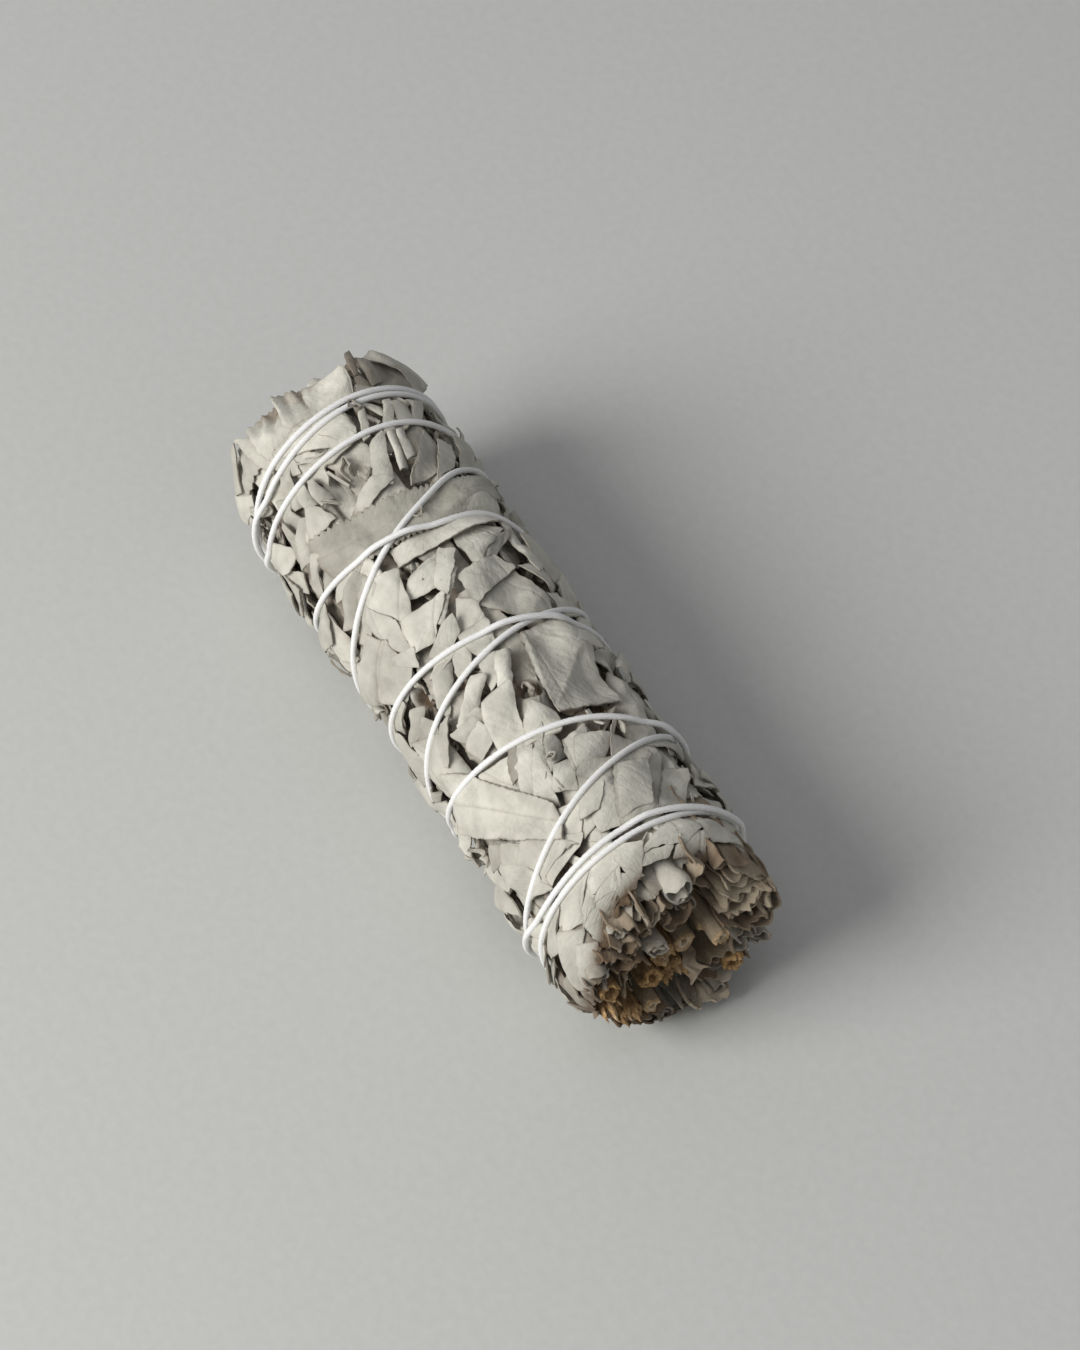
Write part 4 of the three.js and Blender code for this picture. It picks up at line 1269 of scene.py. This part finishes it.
CREASES = [
    (-9.2, -30, -16, -3, 0.55), (-9.2, -30, -3, -16, 0.5), (-9.2, -30, -17, -33, -0.3), (-9.2, -30, -5, -44, 0.4),
    (-16, 0, -4, -9, 0.5),
]


def build_broad():
    """The broad leaves that lie on top of the rest."""
    ribbed = dict(ribbed=True, thickness=0.3)
    rows = {
        "leaf_across": (
            ("arched", 0.15, 0.0, (21.3, 57), (21.0, -50), (26.6, -53), (28.4, 54)),
            dict(seed=1, bow=-2.5, ease=0.2, crumple=0.05, crease=0.02, toothed=0.6, tilt=(0, -0.12), **ribbed),
        ),
        "leaf_creased": (
            ("flat", 1, 0.4, (-3.6, -7), (-17.0, 0), (-17.6, -40), (-2.6, -38)),
            dict(seed=2, ease=0.12, crumple=0.05, crease=0.0, tilt=(0, 0), folds=CREASES),
        ),
        "leaf_slanting": (
            ("arched", 0.2, 0.6, (-12.9, 67), (-28.8, 28), (-34.0, 34), (-19.0, 90)),
            dict(seed=3, ease=0.15, crumple=0.04, crease=0.015, toothed=0.08, tilt=(0.05, 0.1), **ribbed),
        ),
    }
    for name, (patch, settings) in rows.items():
        add_leaf(name, lay_patch(*patch, stiff=4.0, clean=True, **settings), LEAF)


LOOSE_GROUPS = 12  # objects that hold the small leaf pieces between them


def finish_surface(laid, scraps):
    """Names the leaves. The nearest long one to each outer CAD leaf stands for it."""
    names = {}
    for n in range(1, 11):
        node = f"outer_leaf_{n:02d}"
        lo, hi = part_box(node)
        cx = (lo.x + hi.x) / 2 / MM
        ca = math.atan2((lo.y + hi.y) / 2 / MM - AXIS_Y, (lo.z + hi.z) / 2 / MM - AXIS_Z)
        best = min(
            (k for k in range(BED) if k not in names),
            key=lambda k: abs(laid[k][0] - cx) / 12 + abs(math.remainder(laid[k][1] - ca, TURN)) * 1.5,
        )
        names[best] = node
    bound = 0
    for k, (_, _, data) in enumerate(laid[:BED]):
        if k in names:
            add_leaf(names[k] + "_dry", data, LEAF, names[k])
        else:
            bound += 1
            add_leaf(f"bound_leaf_{bound:02d}", data, LEAF)
    loose = [data for _, _, data in laid[BED:]] + scraps
    for n in range(LOOSE_GROUPS):
        add_leaf(f"leaf_pieces_{n + 1:02d}", join_data(loose[n::LOOSE_GROUPS]), LEAF)


# ---- Stems ----


STEM_SIDES = 48
# Of each style: the pith's or hole's share of the radius, its depth, how rough the cut is, how lumpy the bark is
# and how pale the pith is.
STYLES = [(0.34, 0.9, 0.16, 0.04, 0.85), (0.6, 3.5, 0.25, 0.07, 0.1), (0.2, 0.6, 0.75, 0.13, 0.35)]
STEM_DEPTHS = (6.0, 0.4, 0.0, 7.0, 4.0, 1.2, 0.3, 0.6, 0.5, 6.0)  # how far each is broken off inside the end
STEM_STYLES = (1, 2, 0, 1, 0, 0, 1, 2, 0, 0)  # 0 pithy, 1 hollow, 2 fibrous


def stem_piece(name, x0, x1, cy, cz, radius, seed, node=None):
    """A dry stem with a broken, fibrous cut and a hollow or a pale pith in it."""
    lumps = waves(7, 0.5, 3.0, np.random.default_rng(seed))
    a = np.linspace(0, TURN, STEM_SIDES, endpoint=False)
    share_of_hole, depth, rough, swell, pale = STYLES[seed % 3]
    hole = radius * share_of_hole
    # The profile goes out of the pith, over the cut and along the bark.
    profile = [(depth, hole * 0.3, "deep"), (depth * 0.9, hole * 0.85, "deep"), (0.3, hole, "rim")]
    for share in np.linspace(0, 1, 11):
        part = "rim" if share < 0.35 else "cut"
        profile.append((0.05 + 0.3 * (share > 0.95), hole + (radius * 0.97 - hole) * share, part))
    for x in np.concatenate([np.linspace(0.5, 8, 20), np.linspace(9, x1 - x0, 22)]):
        profile.append((x, radius * (1 - 0.3 * x / (x1 - x0)), "bark"))
    profile.append((x1 - x0, 0.2, "bark"))
    weathered = 0.4 if seed % 3 == 0 else 0
    colours = {"deep": (0, 0, 0, 1), "rim": (pale, 1.0, 0, 1), "cut": (pale * 0.35, 1.0, 0, 1)}
    colours["bark"] = (0, 0.25, weathered, 1)
    verts, tint = [], []
    for x, r, part in profile:
        rr = r * (1 + swell * lumps(np.cos(a) * radius, np.sin(a) * radius + x * 0.2))
        xx = x + (rough * lumps(np.cos(a) * r + 9, np.sin(a) * r) if part in ("cut", "rim") else 0 * a)
        verts.append(np.stack([x0 + xx, cy + AXIS_Y + rr * np.sin(a), cz + AXIS_Z + rr * np.cos(a)], -1))
        tint.append(np.tile(colours[part], (STEM_SIDES, 1)))
    verts = np.concatenate(verts) * MM
    verts = np.concatenate([verts, [verts[:STEM_SIDES].mean(0), verts[-STEM_SIDES:].mean(0)]])
    tint = np.concatenate([*tint, tint[0][:1], tint[-1][:1]])
    quads, caps = tube_faces(len(profile), STEM_SIDES)
    mesh = tube_mesh(name, verts, quads, caps)
    add_tint(mesh, tint)
    thing = add_object(name, mesh, STEM)
    if node:
        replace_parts(thing, node)


def build_stems():
    """The stems in the places of the CAD's, cut or broken off at their own depths."""
    for n in range(1, 11):
        node = f"stem_{n:02d}"
        lo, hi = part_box(node)
        cy, cz = (lo.y + hi.y) / 2 / MM - AXIS_Y, (lo.z + hi.z) / 2 / MM - AXIS_Z
        face = float(face_x(math.atan2(cy, cz), math.hypot(cy, cz)))
        x0 = max(lo.x / MM, face - 0.5) + STEM_DEPTHS[n - 1]
        radius = (hi.z - lo.z) / 2 / MM
        stem_piece(node + "_dry", x0, hi.x / MM, cy, cz, radius, 3 * n + STEM_STYLES[n - 1], node)


# ---- String ----


PLIES = 3
CORD_SIDES = 18
TWIST = 2.6  # mm of string for one turn of its plies
KNOT_SHARE = 0.85  # of the string's thickness, where the knot pulls it tight


def length_of(vectors):
    return np.linalg.norm(vectors, axis=1, keepdims=True)


def twisted_cord(points, radius):
    """Points and UVs of a cord of twisted plies along points in mm."""
    tangent = np.gradient(points, axis=0)
    tangent /= length_of(tangent)
    outward = points * [0, 1, 1]
    outward -= (outward * tangent).sum(1, keepdims=True) * tangent
    outward /= length_of(outward)
    sideways = np.cross(tangent, outward)
    run = np.concatenate([[[0]], np.cumsum(length_of(np.diff(points, axis=0)), axis=0)])
    a = np.linspace(0, TURN, CORD_SIDES, endpoint=False)[None, :]
    twist = run * TURN / TWIST
    rr = radius * (0.86 + 0.14 * np.abs(np.cos(PLIES / 2 * (a - twist))) ** 0.8)
    ring = np.cos(a)[..., None] * outward[:, None] + np.sin(a)[..., None] * sideways[:, None]
    verts = (points[:, None] + rr[..., None] * ring).reshape(-1, 3)
    uv = np.stack([run / TWIST + 0 * a, (a - twist) / TURN], -1).reshape(-1, 2)
    ends = [verts[:CORD_SIDES].mean(0), verts[-CORD_SIDES:].mean(0)]
    return np.concatenate([verts, ends]), np.concatenate([uv, np.zeros((2, 2))])


def cord_object(name, paths, radius, node):
    """A piece of one or more lengths of string, in place of a CAD node."""
    verts, uvs, quads, caps, count = [], [], [], [], 0
    for points in paths:
        v, uv = twisted_cord(points, radius)
        faces, ends = tube_faces(len(points), CORD_SIDES, count)
        for group, part in ((verts, v), (uvs, uv), (quads, faces), (caps, ends)):
            group.append(part)
        count += len(v)
    verts = (np.concatenate(verts) + [0, AXIS_Y, AXIS_Z]) * MM
    mesh = tube_mesh(name, verts, np.concatenate(quads), np.concatenate(caps))
    layer = mesh.uv_layers.new(name="UVMap")
    index = np.empty(len(mesh.loops), np.int32)
    mesh.loops.foreach_get("vertex_index", index)
    layer.data.foreach_set("uv", np.concatenate(uvs)[index].astype(np.float32).ravel())
    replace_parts(add_object(name, mesh, COTTON), node)


def build_string():
    t = np.linspace(FIRST_TURN + 0.02, LAST_TURN - 0.02, 3300)
    radius = STRING_RADIUS - 0.1 + 0.72 * lift_at(t, PASSES)
    angle = -t * TURN
    points = np.stack([along_at(t), radius * np.sin(angle), radius * np.cos(angle)], -1)
    cord_object("binding_string_cotton", [points], STRING_DIAMETER / 2, "binding_string")
    # The knot: two interlocked loops and the loose ends.
    angle = -LAST_TURN * TURN
    out = np.array([0, math.sin(angle), math.cos(angle)])
    round_way = np.array([0, math.cos(angle), -math.sin(angle)])
    along = np.array([1.0, 0, 0])
    centre = along * along_at(LAST_TURN) + out * (STRING_RADIUS + 0.35)
    q = np.linspace(0, TURN, 90)[:, None]
    knot = centre + 1.08 * (np.sin(q) + 0.6 * np.sin(2 * q)) * round_way + 0.5 * np.sin(3 * q) * out
    knot = knot + 0.8 * (np.cos(q) - 0.7 * np.cos(2 * q)) * along
    w = np.linspace(0, 1, 40)[:, None]
    tails = [
        centre - along * 6.4 * w + round_way * side * (1.9 * w + 0.5 * np.sin(4 * w)) + out * (0.2 + 1.1 * w)
        for side in (-1, 1)
    ]
    cord_object("string_knot_cotton", [knot, *tails], STRING_DIAMETER / 2 * KNOT_SHARE, "string_knot")


build_stems()
build_inner()
build_face()
build_tips()
finish_surface(*build_surface())
build_broad()
build_ringlets()
build_string()

# ---- Floor, lights and camera ----


def build_floor():
    mesh = bpy.data.meshes.new("floor")
    size = 4.0
    mesh.from_pydata([(-size, -size, 0), (size, -size, 0), (size, size, 0), (-size, size, 0)], [], [(0, 1, 2, 3)])
    g = Graph("floor_paper")
    tone = g.ramp(g.noise(g.solid, 700, 3), (0.3, (0.535, 0.54, 0.522)), (0.7, (0.565, 0.57, 0.552)))
    mesh.materials.append(g.finish(tone, 0.9))
    add_to_scene("floor", mesh)


def area_light(name, position, size, power, colour=(1, 1, 1)):
    """A round light that points at the bundle."""
    light = bpy.data.lights.new(name, "AREA")
    light.shape, light.size, light.energy, light.color = "DISK", size, power, colour
    thing = add_to_scene(name, light)
    thing.location = position
    thing.rotation_euler = (-position).to_track_quat("-Z", "Y").to_euler()


CAMERA_PITCH = math.radians(54.07)
CAMERA_HEADING = math.radians(29.67)
CAMERA_PLACE = (-0.3491, 0.1915, 0.5525 + AXIS_Z * MM)
heading = Vector((math.cos(CAMERA_HEADING), -math.sin(CAMERA_HEADING), 0))
look = heading * math.cos(CAMERA_PITCH) - Vector((0, 0, math.sin(CAMERA_PITCH)))
right = look.cross(Vector((0, 0, 1))).normalized()


def build_camera():
    data = bpy.data.cameras.new("camera")
    data.sensor_width = 36
    data.lens = 132.39
    turn = Matrix((right, right.cross(look), -look)).transposed().to_4x4()
    camera = add_to_scene("camera", data)
    camera.matrix_world = Matrix.Translation(CAMERA_PLACE) @ turn
    bpy.context.scene.camera = camera


def build_world():
    """A weak sky light all round, and colours shown as they are."""
    world = bpy.data.worlds.new("world")
    world.use_nodes = True
    sky = world.node_tree.nodes["Background"].inputs
    sky["Color"].default_value = (0.95, 0.97, 1.0, 1)
    sky["Strength"].default_value = 0.24
    bpy.context.scene.world = world
    bpy.context.scene.view_settings.view_transform = "Standard"


build_floor()
to_key = (-right * 0.74 + Vector((0, 0, 0.58)) - heading * 0.36).normalized()  # from the upper left
KEY_DISTANCE = 0.95
area_light("key", to_key * KEY_DISTANCE, 0.6, 8.9, (1.0, 0.99, 0.97))
area_light("top", Vector((-0.05, 0.3, 1.6)), 1.4, 3.2)
build_world()
build_camera()
